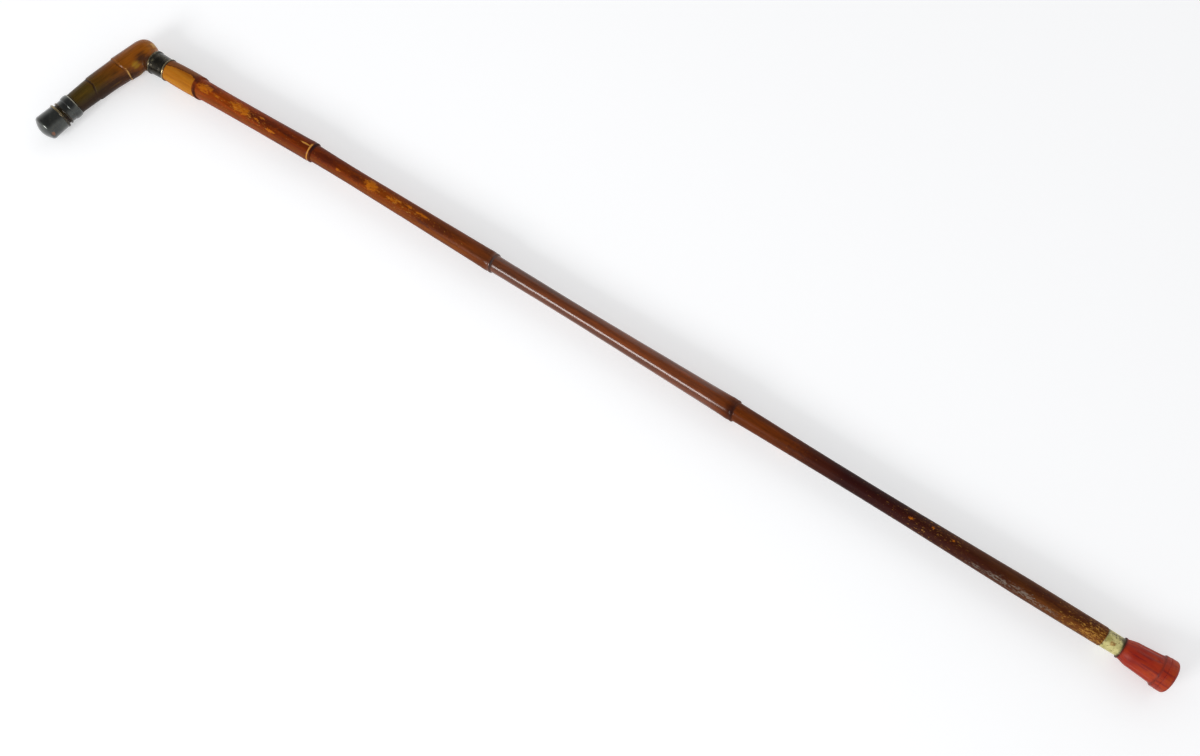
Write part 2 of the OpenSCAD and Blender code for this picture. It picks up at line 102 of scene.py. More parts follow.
def tone(code):
    """A colour as it is seen, such as "#8a4516", in the linear values that a shader takes."""
    parts = [int(code[i:i + 2], 16) / 255 for i in (1, 3, 5)]
    linear = [c / 12.92 if c <= 0.04045 else ((c + 0.055) / 1.055) ** 2.4 for c in parts]
    return (*linear, 1.0)


class Field:
    """One output of a node. Arithmetic with it adds the node that works the answer out."""

    def __init__(self, tree, socket):
        self.tree, self.socket = tree, socket

    def work(self, operation, other=0.0):
        return add(self.tree, "ShaderNodeMath", {0: self, 1: other}, operation=operation)

    def __add__(self, other):
        return self.work("ADD", other)

    def __sub__(self, other):
        return self.work("SUBTRACT", other)

    def __rsub__(self, other):
        return add(self.tree, "ShaderNodeMath", {0: other, 1: self}, operation="SUBTRACT")

    def __mul__(self, other):
        return self.work("MULTIPLY", other)

    def __truediv__(self, other):
        return self.work("DIVIDE", other)

    def part(self, axis):
        """The X, Y or Z of a vector."""
        return add(self.tree, "ShaderNodeSeparateXYZ", {0: self}, axis)

    def grain(self, size, detail=3.0, roughness=0.5, shift=0.0):
        """Noise whose features have the given size, or sizes along X, Y and Z, in metres."""
        sizes = size if isinstance(size, tuple) else (size, size, size)
        scaled = add(self.tree, "ShaderNodeMapping", {
            "Vector": self, "Location": (shift, shift, shift),
            "Scale": tuple(1 / s for s in sizes)})
        return add(self.tree, "ShaderNodeTexNoise", {
            "Vector": scaled, "Scale": 1.0, "Detail": detail, "Roughness": roughness})

    def window(self, low, high):
        """0 below low, 1 above high, and smooth between."""
        return add(self.tree, "ShaderNodeMapRange", {
            "Value": self, "From Min": low, "From Max": high}, interpolation_type="SMOOTHSTEP")

    def between(self, low, high):
        """Takes noise, which keeps near the middle of 0 to 1, to the range from low to high."""
        return add(self.tree, "ShaderNodeMapRange", {
            "Value": self, "From Min": 0.3, "From Max": 0.7, "To Min": low, "To Max": high})

    def ramp(self, *stops):
        """Colours at places from 0 to 1, blended between them."""
        made = add(self.tree, "ShaderNodeValToRGB", {0: self})
        elements = made.socket.node.color_ramp.elements
        while len(elements) < len(stops):
            elements.new(0.5)
        for element, (at, code) in zip(elements, stops):
            element.position = at
            element.color = tone(code)
        return made


def add(tree, kind, inputs=(), output=0, **settings):
    """Adds a node and gives back one of its outputs. inputs maps a socket's name or number to a
    value or to another node's output."""
    made = tree.nodes.new(kind)
    for name, value in settings.items():
        setattr(made, name, value)
    for key, value in dict(inputs).items():
        if isinstance(value, Field):
            tree.links.new(value.socket, made.inputs[key])
        else:
            made.inputs[key].default_value = value
    return Field(tree, made.outputs[output])


def new_tree(name, result, sockets):
    """An empty geometry tree, and its named inputs."""
    tree = bpy.data.node_groups.new(name, "GeometryNodeTree")
    for label, kind, value in sockets:
        socket = tree.interface.new_socket(label, in_out="INPUT", socket_type="NodeSocket" + kind)
        if value is not None:
            socket.default_value = value
    tree.interface.new_socket(result, in_out="OUTPUT", socket_type="NodeSocketGeometry")
    inputs = tree.nodes.new("NodeGroupInput").outputs
    return tree, {socket.name: Field(tree, socket) for socket in inputs}


def end_tree(tree, geometry, finish):
    """Ends a geometry tree with a real mesh in one finish."""
    real = add(tree, "GeometryNodeRealizeInstances", {"Geometry": geometry})
    painted = add(tree, "GeometryNodeSetMaterial", {"Geometry": real, "Material": finish})
    tree.links.new(painted.socket, tree.nodes.new("NodeGroupOutput").inputs[0])


def turning_tree():
    """Geometry nodes that turn a row of points, each (place, radius, 0), round the X axis.
    The points' slant attribute tilts their ring, and their flute attribute lets the flutes in."""
    tree, given = new_tree("turned piece", "Piece", (
        ("Profile", "Geometry", None), ("Sides", "Int", 96), ("Flutes", "Int", 0),
        ("Flute Depth", "Float", 0.0), ("Unevenness", "Float", 0.0),
        ("Unevenness Length", "Float", 10.0), ("Seed", "Float", 0.0), ("Finish", "Material", None),
    ))
    columns = given["Sides"] + 1
    rings = add(tree, "GeometryNodeAttributeDomainSize", {"Geometry": given["Profile"]},
                "Point Count")
    grid = add(tree, "GeometryNodeMeshGrid", {"Vertices X": rings, "Vertices Y": columns})
    index = add(tree, "GeometryNodeInputIndex")
    ring = ((index + 0.5) / columns).work("FLOOR")
    turn = (index - ring * columns) / given["Sides"] * (2 * math.pi)

    def of_ring(field, kind="FLOAT"):
        return add(tree, "GeometryNodeSampleIndex", {
            "Geometry": given["Profile"], "Value": field, "Index": ring}, data_type=kind)

    def stored(name):
        return of_ring(add(tree, "GeometryNodeInputNamedAttribute", {"Name": name},
                           data_type="FLOAT"))

    point = of_ring(add(tree, "GeometryNodeInputPosition"), "FLOAT_VECTOR")
    place, radius = point.part("X"), point.part("Y")
    cosine, sine = turn.work("COSINE"), turn.work("SINE")
    # the flutes are shallow rounds between narrower lands
    wave = (0.5 - (turn * given["Flutes"]).work("COSINE") * 0.5).work("POWER", 1.5)
    radius = radius - wave * stored("flute") * given["Flute Depth"]
    # nothing made by hand or grown is quite round
    length = given["Unevenness Length"]
    spot = add(tree, "ShaderNodeCombineXYZ", {
        "X": place / length, "Y": cosine * radius / length, "Z": sine * radius / length})
    swell = add(tree, "ShaderNodeTexNoise", {
        "Vector": spot, "W": given["Seed"], "Scale": 1.0, "Detail": 1.0}, noise_dimensions="4D")
    swell = (swell - 0.5) * given["Unevenness"]
    radius = radius + swell.work("MINIMUM", radius / 3)
    height = sine * radius
    position = add(tree, "ShaderNodeCombineXYZ", {
        "X": place + stored("slant") * height, "Y": cosine * radius, "Z": height})
    shaped = add(tree, "GeometryNodeSetPosition", {"Geometry": grid, "Position": position})
    joined = add(tree, "GeometryNodeMergeByDistance", {"Geometry": shaped, "Distance": 1e-4})
    smooth = add(tree, "GeometryNodeSetShadeSmooth", {0: joined})
    end_tree(tree, smooth, given["Finish"])
    return tree


def put(name, data):
    """A new object in the scene."""
    made = bpy.data.objects.new(name, data)
    bpy.context.scene.collection.objects.link(made)
    return made


def as_mesh(source):
    """The plain mesh that an object's modifiers make. The object is then removed."""
    ready = source.evaluated_get(bpy.context.evaluated_depsgraph_get())
    mesh = bpy.data.meshes.new_from_object(ready)
    bpy.data.objects.remove(source)
    return mesh


def grown(source, tree, **inputs):
    """The plain mesh that a geometry tree makes of a source object, which is then removed."""
    modifier = source.modifiers.new("made", "NODES")
    modifier.node_group = tree
    for item in tree.interface.items_tree:
        name = item.name.lower().replace(" ", "_")
        if item.in_out == "INPUT" and name in inputs:
            modifier[item.identifier] = inputs[name]
    return as_mesh(source)


def points_of(mesh):
    flat = np.empty(len(mesh.vertices) * 3, np.float32)
    mesh.vertices.foreach_get("co", flat)
    return flat.reshape(-1, 3).astype(float)


def move_points(mesh, points):
    mesh.vertices.foreach_set("co", np.asarray(points, np.float32).ravel())
    mesh.update()


def mark(mesh, name, values):
    """Stores a number or a vector for each point of the mesh, for its material to read."""
    values = np.asarray(values, np.float32)
    kind, field = ("FLOAT", "value") if values.ndim == 1 else ("FLOAT_VECTOR", "vector")
    mesh.attributes.new(name, kind, "POINT").data.foreach_set(field, values.ravel())


turning = turning_tree()


def turned(name, points, finish, slants=0.0, fluted=0.0, sharp=35, **inputs):
    """A mesh in millimetres, turned from (place, radius) points, with its faces outwards. inputs
    are the turning tree's own, and edges that turn by more than sharp degrees stay sharp."""
    profile = bpy.data.meshes.new(name)
    profile.from_pydata([(x, r, 0.0) for x, r in points],
                        [(i, i + 1) for i in range(len(points) - 1)], [])
    mark(profile, "slant", np.zeros(len(points)) + slants)
    mark(profile, "flute", np.zeros(len(points)) + fluted)
    mesh = grown(put(name, profile), turning, finish=finish.material, **inputs)
    mesh.name = name
    shape = bmesh.new()
    shape.from_mesh(mesh)
    bmesh.ops.dissolve_degenerate(shape, dist=1e-5, edges=shape.edges)
    bmesh.ops.recalc_face_normals(shape, faces=shape.faces)
    shape.to_mesh(mesh)
    shape.free()
    mesh.set_sharp_from_angle(angle=math.radians(sharp))
    return mesh


def piece(name, mesh, body, nodes, place=Matrix()):
    """Puts a mesh in millimetres where it belongs, as a piece that stands for its CAD nodes."""
    mesh.transform(Matrix.Scale(mm, 4) @ place)
    made = put(name, mesh)
    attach(made, body)
    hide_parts(*nodes)
    return made


class Finish:
    """A material that is built up with nodes. Its own constants are given by socket name."""

    def __init__(self, name, **constants):
        self.material = bpy.data.materials.new(name)
        self.material.use_nodes = True
        self.tree = self.material.node_tree
        self.surface = self.tree.nodes["Principled BSDF"]
        for socket, value in constants.items():
            self.surface.inputs[socket.replace("_", " ")].default_value = value

    def feed(self, socket, field):
        self.tree.links.new(field.socket, self.surface.inputs[socket])

    def where(self):
        return add(self.tree, "ShaderNodeTexCoord", output="Object")

    def value(self, name, output="Fac"):
        """What mark() stored on the mesh."""
        return add(self.tree, "ShaderNodeAttribute", output=output, attribute_name=name)

    def ragged(self, name, grain, spread):
        """What mark() stored, with its edges made ragged by the grain."""
        return self.value(name) + grain.between(-spread, spread)

    def mix(self, share, a, b, blend="MIX"):
        """Colour a where share is 0, and colour b where it is 1."""
        a, b = (colour if isinstance(colour, Field) else tone(colour) for colour in (a, b))
        return add(self.tree, "ShaderNodeMix", {0: share, 6: a, 7: b}, 2,
                   data_type="RGBA", blend_type=blend)

    def shade(self, colour, factor):
        """Multiplies a colour by a number."""
        grey = add(self.tree, "ShaderNodeCombineXYZ", {0: factor, 1: factor, 2: factor})
        return self.mix(1.0, colour, grey, "MULTIPLY")

    def relief(self, height, depth):
        """Bump, with depth in metres for a height of 1."""
        self.feed("Normal", add(self.tree, "ShaderNodeBump", {"Height": height, "Distance": depth}))


def bamboo_finish():
    finish = Finish("varnished bamboo", IOR=1.45, Specular_IOR_Level=0.04, Coat_Roughness=0.18)
    where = finish.where()
    wander = where.grain(0.03, detail=2)
    # the stain's colours from foot to handle, as shares of the cane's length
    cane_l = 0.9
    along = where.part("X") / cane_l + wander.between(-0.012, 0.012)
    colour = along.ramp(
        (0.05, "#653710"), (0.13, "#512910"), (0.22, "#32130c"), (0.27, "#260e0b"),
        (0.325, "#5c2808"), (0.42, "#6c310a"), (0.6, "#5f2e11"), (0.7, "#7d3603"),
        (0.78, "#652403"), (0.9, "#8e3a04"))
    # streaks and fibres run along the cane
    streak = where.grain((0.09, 0.004, 0.004), detail=4)
    fibre = where.grain((0.02, 0.0006, 0.0006), detail=2, shift=3.0)
    mottle = where.grain((0.011, 0.0016, 0.0016), detail=4, roughness=0.65, shift=9.0)
    colour = finish.shade(colour, streak.between(0.72, 1.3))
    colour = finish.shade(colour, mottle.between(0.74, 1.26))
    colour = finish.shade(colour, fibre.between(0.9, 1.08))
    # the stain is thin above knot 4; painted light brightens one side of the upper cane
    thin_and_lit_tone = finish.shade("#7c4519", mottle.between(0.8, 1.2))
    colour = finish.mix(finish.value("thin stain and painted light"), colour, thin_and_lit_tone)
    ragged = where.grain((0.0028, 0.0013, 0.0013), detail=7, roughness=0.85).between(-0.75, 0.75)
    speck = where.grain((0.003, 0.0008, 0.0008), detail=5, roughness=0.75, shift=7.0)
    # dark stain that the scraping left
    stain = (finish.value("stain") - ragged).window(0.3, 0.9)
    colour = finish.mix(stain * 0.56, colour, "#36100e")
    # varnish and stain worn through to the cane
    worn = (finish.value("wear") + ragged).window(0.58, 0.74)
    cane = finish.mix(speck.between(0.0, 1.0), "#9e4c03", "#c67412")
    colour = finish.mix(worn * 0.9, colour, cane)
    # small golden flecks, and grey scuffs near the foot
    fleck = (speck + finish.value("fleck") * 0.17).window(0.66, 0.73)
    colour = finish.mix(fleck * 0.85, colour, "#b8843a")
    scratch = where.grain((0.0026, 0.0007, 0.0009), detail=4, roughness=0.75, shift=11.0)
    scuff = (scratch + finish.value("scuff") * 0.19).window(0.65, 0.78)
    colour = finish.mix(scuff * 0.4, colour, "#a39c90")
    # the peeled cane above knot 4, with a dark edge where the skin ends
    peeling = finish.value("bare") + ragged * 0.55
    bare = peeling.window(0.42, 0.62)
    peeled = finish.mix(streak.between(0.0, 1.0), "#a35c08", "#bb7a22")
    peeled = finish.shade(peeled, mottle.between(0.86, 1.1))
    colour = finish.mix(bare, colour, finish.shade(peeled, fibre.between(0.93, 1.05)))
    edge = (peeling.window(0.1, 0.35) - bare) * finish.value("bare").window(0.02, 0.2)
    colour = finish.mix(edge * 0.8, colour, "#4a2008")
    # painted shade and dark stain in the crease of each knot, and the worn line round knot 3
    colour = finish.mix(finish.value("ring"), colour, "#1d0d11")
    line = (finish.value("line") + ragged * 0.25).window(0.4, 0.6)
    colour = finish.mix(line, colour, "#c4873a")
    finish.feed("Base Color", colour)
    finish.feed("Coat Weight", finish.value("varnish") * 0.7 + 0.1)
    rough = 0.32 - finish.value("varnish") * 0.16
    for dull in (worn * 0.45, bare * 0.42, scuff * 0.7):
        rough = rough.work("MAXIMUM", dull)
    finish.feed("Roughness", rough + wander.between(-0.03, 0.05))
    finish.relief(fibre * 0.35 - worn * 0.6 - scuff * 0.4, 0.00008)
    return finish


def bell(distance, width, across=0.0, width_across=1.0):
    """1 in the middle, and almost 0 at twice the width, or the width across."""
    return np.exp(-((distance / width) ** 2 + (across / width_across) ** 2))


def slope(distance, length):
    """0 before a place, 1 from the length past it, and an even slope between."""
    return np.clip(distance / length, 0, 1)


bamboo = bamboo_finish()
shaft_sides = 80
ring_gap = 1.7
bend_reach = 12.0
# the rings lie closer together above a lip and under the next, and closest where it is rounded
lip_zone, lip_gap = 8, 0.4
crease_zone, crease_gap = 4, 0.35
lip_rings = np.array([0, 0.07, 0.25, 0.5])


def lip_cut(past):
    """How far the rounded edge of a lip lies inside its full radius."""
    return lip_round * (1 - np.sqrt(1 - np.clip(1 - past / lip_round, 0, 1) ** 2))


def internode(x0, x1, low_r, waist_r, high_r, waist_at, lip=True):
    """Places and radii from one knot up to the next."""
    middle_l = x1 - x0 - lip_zone - crease_zone
    x = np.concatenate([
        x0 + lip_rings, np.arange(x0 + 2 * lip_gap, x0 + lip_zone, lip_gap),
        np.linspace(x0 + lip_zone, x1 - crease_zone, round(middle_l / ring_gap)),
        np.arange(x1 - crease_zone + 0.3, x1 - crease_gap, crease_gap)])
    t = (x - x0) / (x1 - x0)
    r = np.where(t < waist_at,
                 waist_r + (low_r - waist_r) * np.clip(1 - t / waist_at, 0, 1) ** 1.3,
                 waist_r + (high_r - waist_r) * slope(t - waist_at, 1 - waist_at) ** 2)
    # the fine groove above the lip and the low swelling after that
    if lip:
        r = r - lip_cut(x - x0)
        r = r - 0.16 * bell(x - x0 - 2.2, 0.5) + 0.14 * bell(x - x0 - 5.0, 2.2)
    # the crease under the next knot
    r = r - 0.18 * bell(x1 - x - 0.3, 0.5)
    return list(zip(x, r))


swelling_x = ferrule_top_x + swelling_l
shaft_points = [(shaft_foot_x, 0.0), (shaft_foot_x, spigot_foot_r), (ferrule_top_x, spigot_top_r),
                (ferrule_top_x, cane_edge_r), (ferrule_top_x + 0.4, cane_foot_r)]
shaft_points += [(x, cane_foot_r + swelling_h
                  * math.sin(math.pi / 2 * (x - ferrule_top_x) / swelling_l))
                 for x in np.arange(ferrule_top_x + 1.5, swelling_x, ring_gap)]
first = internode(swelling_x, knot_1.x, first_low_r, first_waist_r, knot_1.d / 2 - knot_step,
                  first_waist_at, lip=False)
shaft_points += [(x, r) for x, r in first if x > swelling_x + 1]
for lower, upper, (waist_d, waist_at) in zip(knots, knots[1:], waists):
    shaft_points += internode(lower.x, upper.x, lower.d / 2, waist_d / 2,
                              upper.d / 2 - knot_step, waist_at)
peeled_x = np.concatenate([knot_4.x + lip_rings,
                           np.arange(knot_4.x + 0.9, collar_foot_x - 0.2, 0.5), [collar_foot_x]])
peeled_t = (peeled_x - knot_4.x) / (collar_foot_x - knot_4.x)
peeled_r = (knot_4.d / 2 + (collar_foot_r - knot_4.d / 2) * peeled_t
            + (peeled_middle_r - (knot_4.d / 2 + collar_foot_r) / 2) * np.sin(math.pi * peeled_t)
            - lip_cut(peeled_x - knot_4.x))
shaft_points += list(zip(peeled_x, peeled_r))
shaft_points += [(collar_foot_x, collar_foot_r - neck_fit),
                 (neck_joint_x, collar_r(neck_joint_x) - neck_fit),
                 (neck_joint_x, bore_r), (neck_joint_x - dowel_in_shaft, bore_r),
                 (neck_joint_x - dowel_in_shaft, 0.0)]
places = np.array([x for x, r in shaft_points])
slants = sum(math.tan(math.radians(knot.slant)) * bell(places - knot.x, bend_reach)
             for knot in knots)
slants[places < ferrule_top_x + 1] = 0
slants[[r < bore_r + 0.1 or x > collar_foot_x - 0.1 for x, r in shaft_points]] = 0
shaft = turned("shaft", shaft_points, bamboo, slants=slants, sides=shaft_sides, sharp=50,
               unevenness=0.22, unevenness_length=26.0, seed=2.0)


def around(co):
    """Each point's place along a turned piece, its radius, and its angle round the piece in
    degrees, from 0 at the side that the handle points to and 90 on top."""
    return co[:, 0], np.hypot(co[:, 1], co[:, 2]), np.degrees(np.arctan2(co[:, 2], co[:, 1]))


def past(turn, angle):
    """Degrees round the piece past an angle, from -180 to 180."""
    return (turn - angle + 180) % 360 - 180


def apart(turn, r, angle):
    """Distance round the piece from an angle, in millimetres."""
    return np.radians(past(turn, angle)) * r


co = points_of(shaft)
x, r, turn = around(co)
skin = (r > bore_r + 0.4) & (x > ferrule_top_x + 0.3) & (x < collar_foot_x - 0.2)


def blot(at, angle, half_length, half_width):
    """1 at a spot of the shaft's surface, falling to 0 at its edge."""
    d = np.sqrt(((x - at) / half_length) ** 2 + (apart(turn, r, angle) / half_width) ** 2)
    return np.clip(1.3 - 0.7 * d, 0, 1)


def above(knot):
    """Distance along the shaft above a knot's slanted ring."""
    return x - knot.x - co[:, 2] * math.tan(math.radians(knot.slant))


# buds sat above the knots on alternate sides, and each left a scar with a shallow groove above it:
# knot, angle round the shaft in degrees, length of the groove
buds = ((knot_1, 84, 60), (knot_2, -92, 50), (knot_3, 94, 70), (knot_4, -86, 0))
push = np.zeros(len(co))
for knot, angle, groove_l in buds:
    u, side = above(knot), apart(turn, r, angle)
    oval = (u - 4.2) ** 2 / 2.9 ** 2 + side ** 2 / 1.6 ** 2
    push += 0.22 * bell(np.sqrt(oval) - 1, 0.3) - 0.28 * np.exp(-oval * 1.5)
    if groove_l:
        reach = slope(u - 5, 6) * np.clip(1 - (u - 5) / groove_l, 0, 1)
        push -= 0.3 * reach * bell(side, 2.0)
# the lip's edge is a little ragged
for knot in knots:
    rough_edge = np.array([noise.noise(Vector((a / 14, knot.x, 0))) for a in turn])
    push += 0.18 * rough_edge * bell(above(knot) - 0.4, 0.9)
# the side where the skin was peeled off, from a wavy edge near the top down
peel_edge = np.interp(x, (knot_4.x, 817, 830, collar_foot_x), (90, 106, 103, 88))
bare = slope(peel_edge + 8 - turn, 16) * slope(turn + 62, 8) * slope(above(knot_4) - 1.1, 0.8)
push -= 0.22 * bare
push *= skin
co[:, 1:] += push[:, None] * co[:, 1:] / np.maximum(r, 0.1)[:, None]

# worn spots, dark stains and scuffs: place, angle, half length and half width
worn_spots = [
    (803.5, 80, 4.2, 2.8), (800, 94, 4.5, 2.0), (799, 62, 2, 1.0), (790, 74, 2.2, 0.9),
    (772, 84, 6.0, 3.2), (764, 80, 5, 3.0), (749, 97, 2.6, 0.9), (752, 72, 2, 1.0),
    (738, 54, 4, 1.1), (675, 55, 2, 0.9), (646, 85, 5.8, 4.2), (627, 77, 4.5, 1.2),
    (622, 90, 3.6, 1.0), (612, 95, 4, 0.9), (599, 91, 7, 0.9), (192, 78, 1.7, 1.3),
    (176, 97, 1.2, 0.9), (161, 94, 1.1, 0.8),
]
dark_spots = [
    (753, 88, 9, 3.4), (741, 96, 10, 2.4), (726, 88, 9, 1.5), (583, 72, 13, 2.4),
    (597, 58, 7, 1.8), (660, 70, 7, 2.2), (689, 75, 12, 3.0), (246, 80, 30, 12),
    (205, 45, 45, 6.5), (150, 52, 34, 4.5), (92, 96, 12, 2.6), (74, 84, 12, 2.4),
    (62, 112, 9, 2.6), (812, 104, 5, 3), (797, 105, 7, 2.5),
]
scuffs = [(123, 36, 13, 3.0), (104, 40, 11, 2.6), (140, 30, 7, 2.0), (112, 52, 6, 1.4),
          (91, 34, 9, 2.4)]
# the underside has more of them at random
dice = random.Random(4)
for spots, count in ((worn_spots, 16), (dark_spots, 12), (scuffs, 8)):
    for _ in range(count):
        at, angle = dice.uniform(60, 800), dice.uniform(-170, -10)
        spots.append((at, angle, dice.uniform(3, 14), dice.uniform(1, 3.5)))
# around the worn spots the varnish is rubbed in small specks
rubbed = bell(x - 772, 30) + 0.8 * bell(x - 622, 34) + 0.7 * bell(x - 170, 24)
rubbed *= 0.26 * (0.35 + 0.65 * bell(turn - 78, 42))
mark(shaft, "wear", np.max([rubbed] + [blot(*spot) for spot in worn_spots], axis=0) * skin)
mark(shaft, "stain", np.max([blot(*spot) for spot in dark_spots], axis=0) * skin)
mark(shaft, "scuff", np.max([blot(*spot) for spot in scuffs], axis=0) * skin)
low_side = 0.55 + 0.45 * np.cos(np.radians(turn - 40))
golden = bell(x - 765, 45) * 0.55 + bell(x - 622, 45) * 0.5
golden *= 0.35 + 0.65 * bell(turn - 78, 50)
mark(shaft, "fleck", slope(102 - x, 46) * low_side + bell(x - 178, 40) * 0.45 + golden)
mark(shaft, "bare", bare * skin)
# painted light: a lighter tone along the side of the upper cane that faces the window
painted_lit_side = 0.55 * bell(turn - 24, 15) * slope(x - 545, 20)
mark(shaft, "thin stain and painted light", np.maximum(slope(above(knot_4) - 0.8, 2.5), painted_lit_side) * skin)
# painted shade and stain at each knot: strength, reach above the lip, and side where darkest
creases = ((0.8, 5.0, 60), (0.9, 0.7, 70), (0.95, 1.2, 100), (0.85, 1.3, 20))
crease = np.zeros(len(co))
for knot, (strength, above_reach, darkest) in zip(knots, creases):
    u = above(knot)
    fade = 0.62 + 0.38 * np.cos(np.radians(2 * (turn - darkest)))
    crease = np.maximum(crease, strength * fade * bell(u, np.where(u > 0, above_reach, 0.8)))
mark(shaft, "ring", crease * skin)
# the worn line round knot 3, wider near the top, with a tail up its groove
u = above(knot_3)
line = bell(u - 2.1, 0.6 + 0.4 * bell(turn - 104, 22)) * slope(132 - turn, 30)
tail = bell(apart(turn, r, 94), 0.75) * np.clip(1.2 - np.abs(u - 7) / 7, 0, 1)
mark(shaft, "line", np.maximum(line, tail) * skin)
# the varnish is whole between knots 1 and 2
mark(shaft, "varnish", slope(x - 336, 14) * slope(540 - x, 4))
move_points(shaft, co)


def leaning(mesh):
    """Leans the part of a straight mesh that lies above knot 3."""
    co = points_of(mesh)
    x, y = co[:, 0].copy(), co[:, 1].copy()
    ahead = np.clip(x - knot_3.x, 0, None)
    upper = x > knot_3.x
    co[:, 0] = np.where(upper, knot_3.x + ahead * math.cos(lean) - y * math.sin(lean), x)
    co[:, 1] = np.where(upper, y * math.cos(lean) + ahead * math.sin(lean), y)
    move_points(mesh, co)


leaning(shaft)
piece("bamboo_shaft", shaft, "cane", ["shaft"])


# The ferrule, its plug and its nails
# A drawn brass tube with an iron plug in its foot, pushed over the shaft and held by two small
# iron nails. The brass has a dull pale patina, and rust has run a little from the nails.
brass_t = 0.6
ferrule_foot_r, ferrule_top_r = 5.9, 6.65
ferrule_edge_in = 0.14
nail_x = ferrule_top_x - 5.5
nail_turns = (65, 245)
nail_head_r, nail_head_h = 1.15, 0.55
nail_neck_r, nail_r = 0.62, 0.6
nail_sink, nail_shank_l, nail_l = 0.05, 3.2, 4.4
mouth_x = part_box("rubber_tip")[1].x / mm


def ferrule_r(x):
    """Outer radius of the ferrule at a place along the shaft."""
    return np.interp(x, (ferrule_foot_x, ferrule_top_x), (ferrule_foot_r, ferrule_top_r))


def rounded(points, radius, steps=3):
    """The same outline with its corners rounded."""
    made = [tuple(points[0])]
    for before, corner, after in zip(points, points[1:], points[2:]):
        b, c, a = (np.array(p, float) for p in (before, corner, after))
        start, end = (c + (p - c) * min(radius / np.linalg.norm(p - c), 0.45) for p in (b, a))
        for t in np.linspace(0, 1, steps + 1):
            made.append(tuple((1 - t) ** 2 * start + 2 * t * (1 - t) * c + t * t * end))
    return made + [tuple(points[-1])]


def closed(points):
    """The outline, ended where it started."""
    return points + [points[0]]


def close_rings(points, gap):
    """The same outline with points added so that none lie further apart than gap."""
    made = [points[0]]
    for a, b in zip(points, points[1:]):
        n = max(1, math.ceil(math.dist(a, b) / gap))
        made += [(a[0] + (b[0] - a[0]) * k / n, a[1] + (b[1] - a[1]) * k / n)
                 for k in range(1, n + 1)]
    return made


def paint(mesh, finish):
    """Gives a whole mesh one finish."""
    mesh.materials.clear()
    mesh.materials.append(finish.material)


def brass_finish():
    finish = Finish("old brass", Metallic=0.3)
    where = finish.where()
    cloud = where.grain(0.006, detail=4, roughness=0.6)
    spots = where.grain(0.0016, detail=4, roughness=0.7, shift=2.0)
    colour = finish.mix(cloud.between(0.0, 1.0), "#aea55e", "#e6db9a")
    colour = finish.mix(spots.window(0.56, 0.66), colour, "#7d6a34")
    rust = finish.ragged("rust", spots, 0.35).window(0.4, 0.75)
    colour = finish.mix(rust * 0.6, colour, "#a0642c")
    # soiling at the tip's mouth and the cane's edge, and painted shade along one side
    grime_and_painted_shade = finish.ragged("grime_and_painted_shade", spots, 0.3).window(0.1, 1.0)
    finish.feed("Base Color", finish.mix(grime_and_painted_shade, colour, "#4a4024"))
    finish.feed("Roughness", cloud.between(0.3, 0.5) + rust * 0.3)
    finish.relief(where.grain((0.0009, 0.004, 0.004), roughness=0.6), 0.00005)
    return finish


def iron_finish(name, dark, middle, light):
    finish = Finish(name, Metallic=0.6)
    cloud = finish.where().grain(0.0012, detail=5, roughness=0.7)
    finish.feed("Base Color", cloud.ramp((0.35, dark), (0.5, middle), (0.65, light)))
    finish.feed("Roughness", cloud.between(0.5, 0.8))
    finish.relief(cloud, 0.0001)
    return finish


brass = brass_finish()
iron = iron_finish("rusted iron", "#3a2a24", "#6b4128", "#98663a")
rubbed_iron = iron_finish("rubbed iron", "#7c5228", "#ab8a4c", "#c9b478")
ferrule_wall = rounded([
    (ferrule_foot_x + 1, ferrule_foot_r - brass_t), (ferrule_foot_x, ferrule_foot_r - brass_t),
    (ferrule_foot_x, ferrule_foot_r), (ferrule_top_x - 1.0, ferrule_top_r - 0.01),
    (ferrule_top_x, ferrule_top_r - ferrule_edge_in), (ferrule_top_x, ferrule_top_r - brass_t),
    (ferrule_foot_x + 1, ferrule_foot_r - brass_t),
], 0.18)
ferrule = turned("ferrule", close_rings(closed(ferrule_wall), 0.9), brass, sides=96, sharp=60,
                 unevenness=0.09, unevenness_length=6.0, seed=5.0)
x, r, turn = around(points_of(ferrule))


def rust_round(at, angle, spread):
    """Rust on the brass round a spot."""
    return np.exp(-((x - at) ** 2 + apart(turn, r, angle) ** 2) / spread)


mark(ferrule, "rust", np.max([rust_round(nail_x, angle, 4.5) for angle in nail_turns]
                             + [0.7 * rust_round(39.5, 100, 3)], axis=0))
# soiling lies at the tip's mouth and under the cane's edge; painted shade darkens one side
grime_and_painted_shade = 0.8 * bell(x - mouth_x, 1.1) + 0.55 * bell(x - ferrule_top_x, 0.9)
grime_and_painted_shade += (0.5 + 0.3 * bell(x - mouth_x - 1.5, 3.5)) * bell(turn - 124, 32)
mark(ferrule, "grime_and_painted_shade", np.clip(grime_and_painted_shade, 0, 1) * (x > ferrule_foot_x + 20))
piece("brass_ferrule", ferrule, "cane", ["ferrule"])


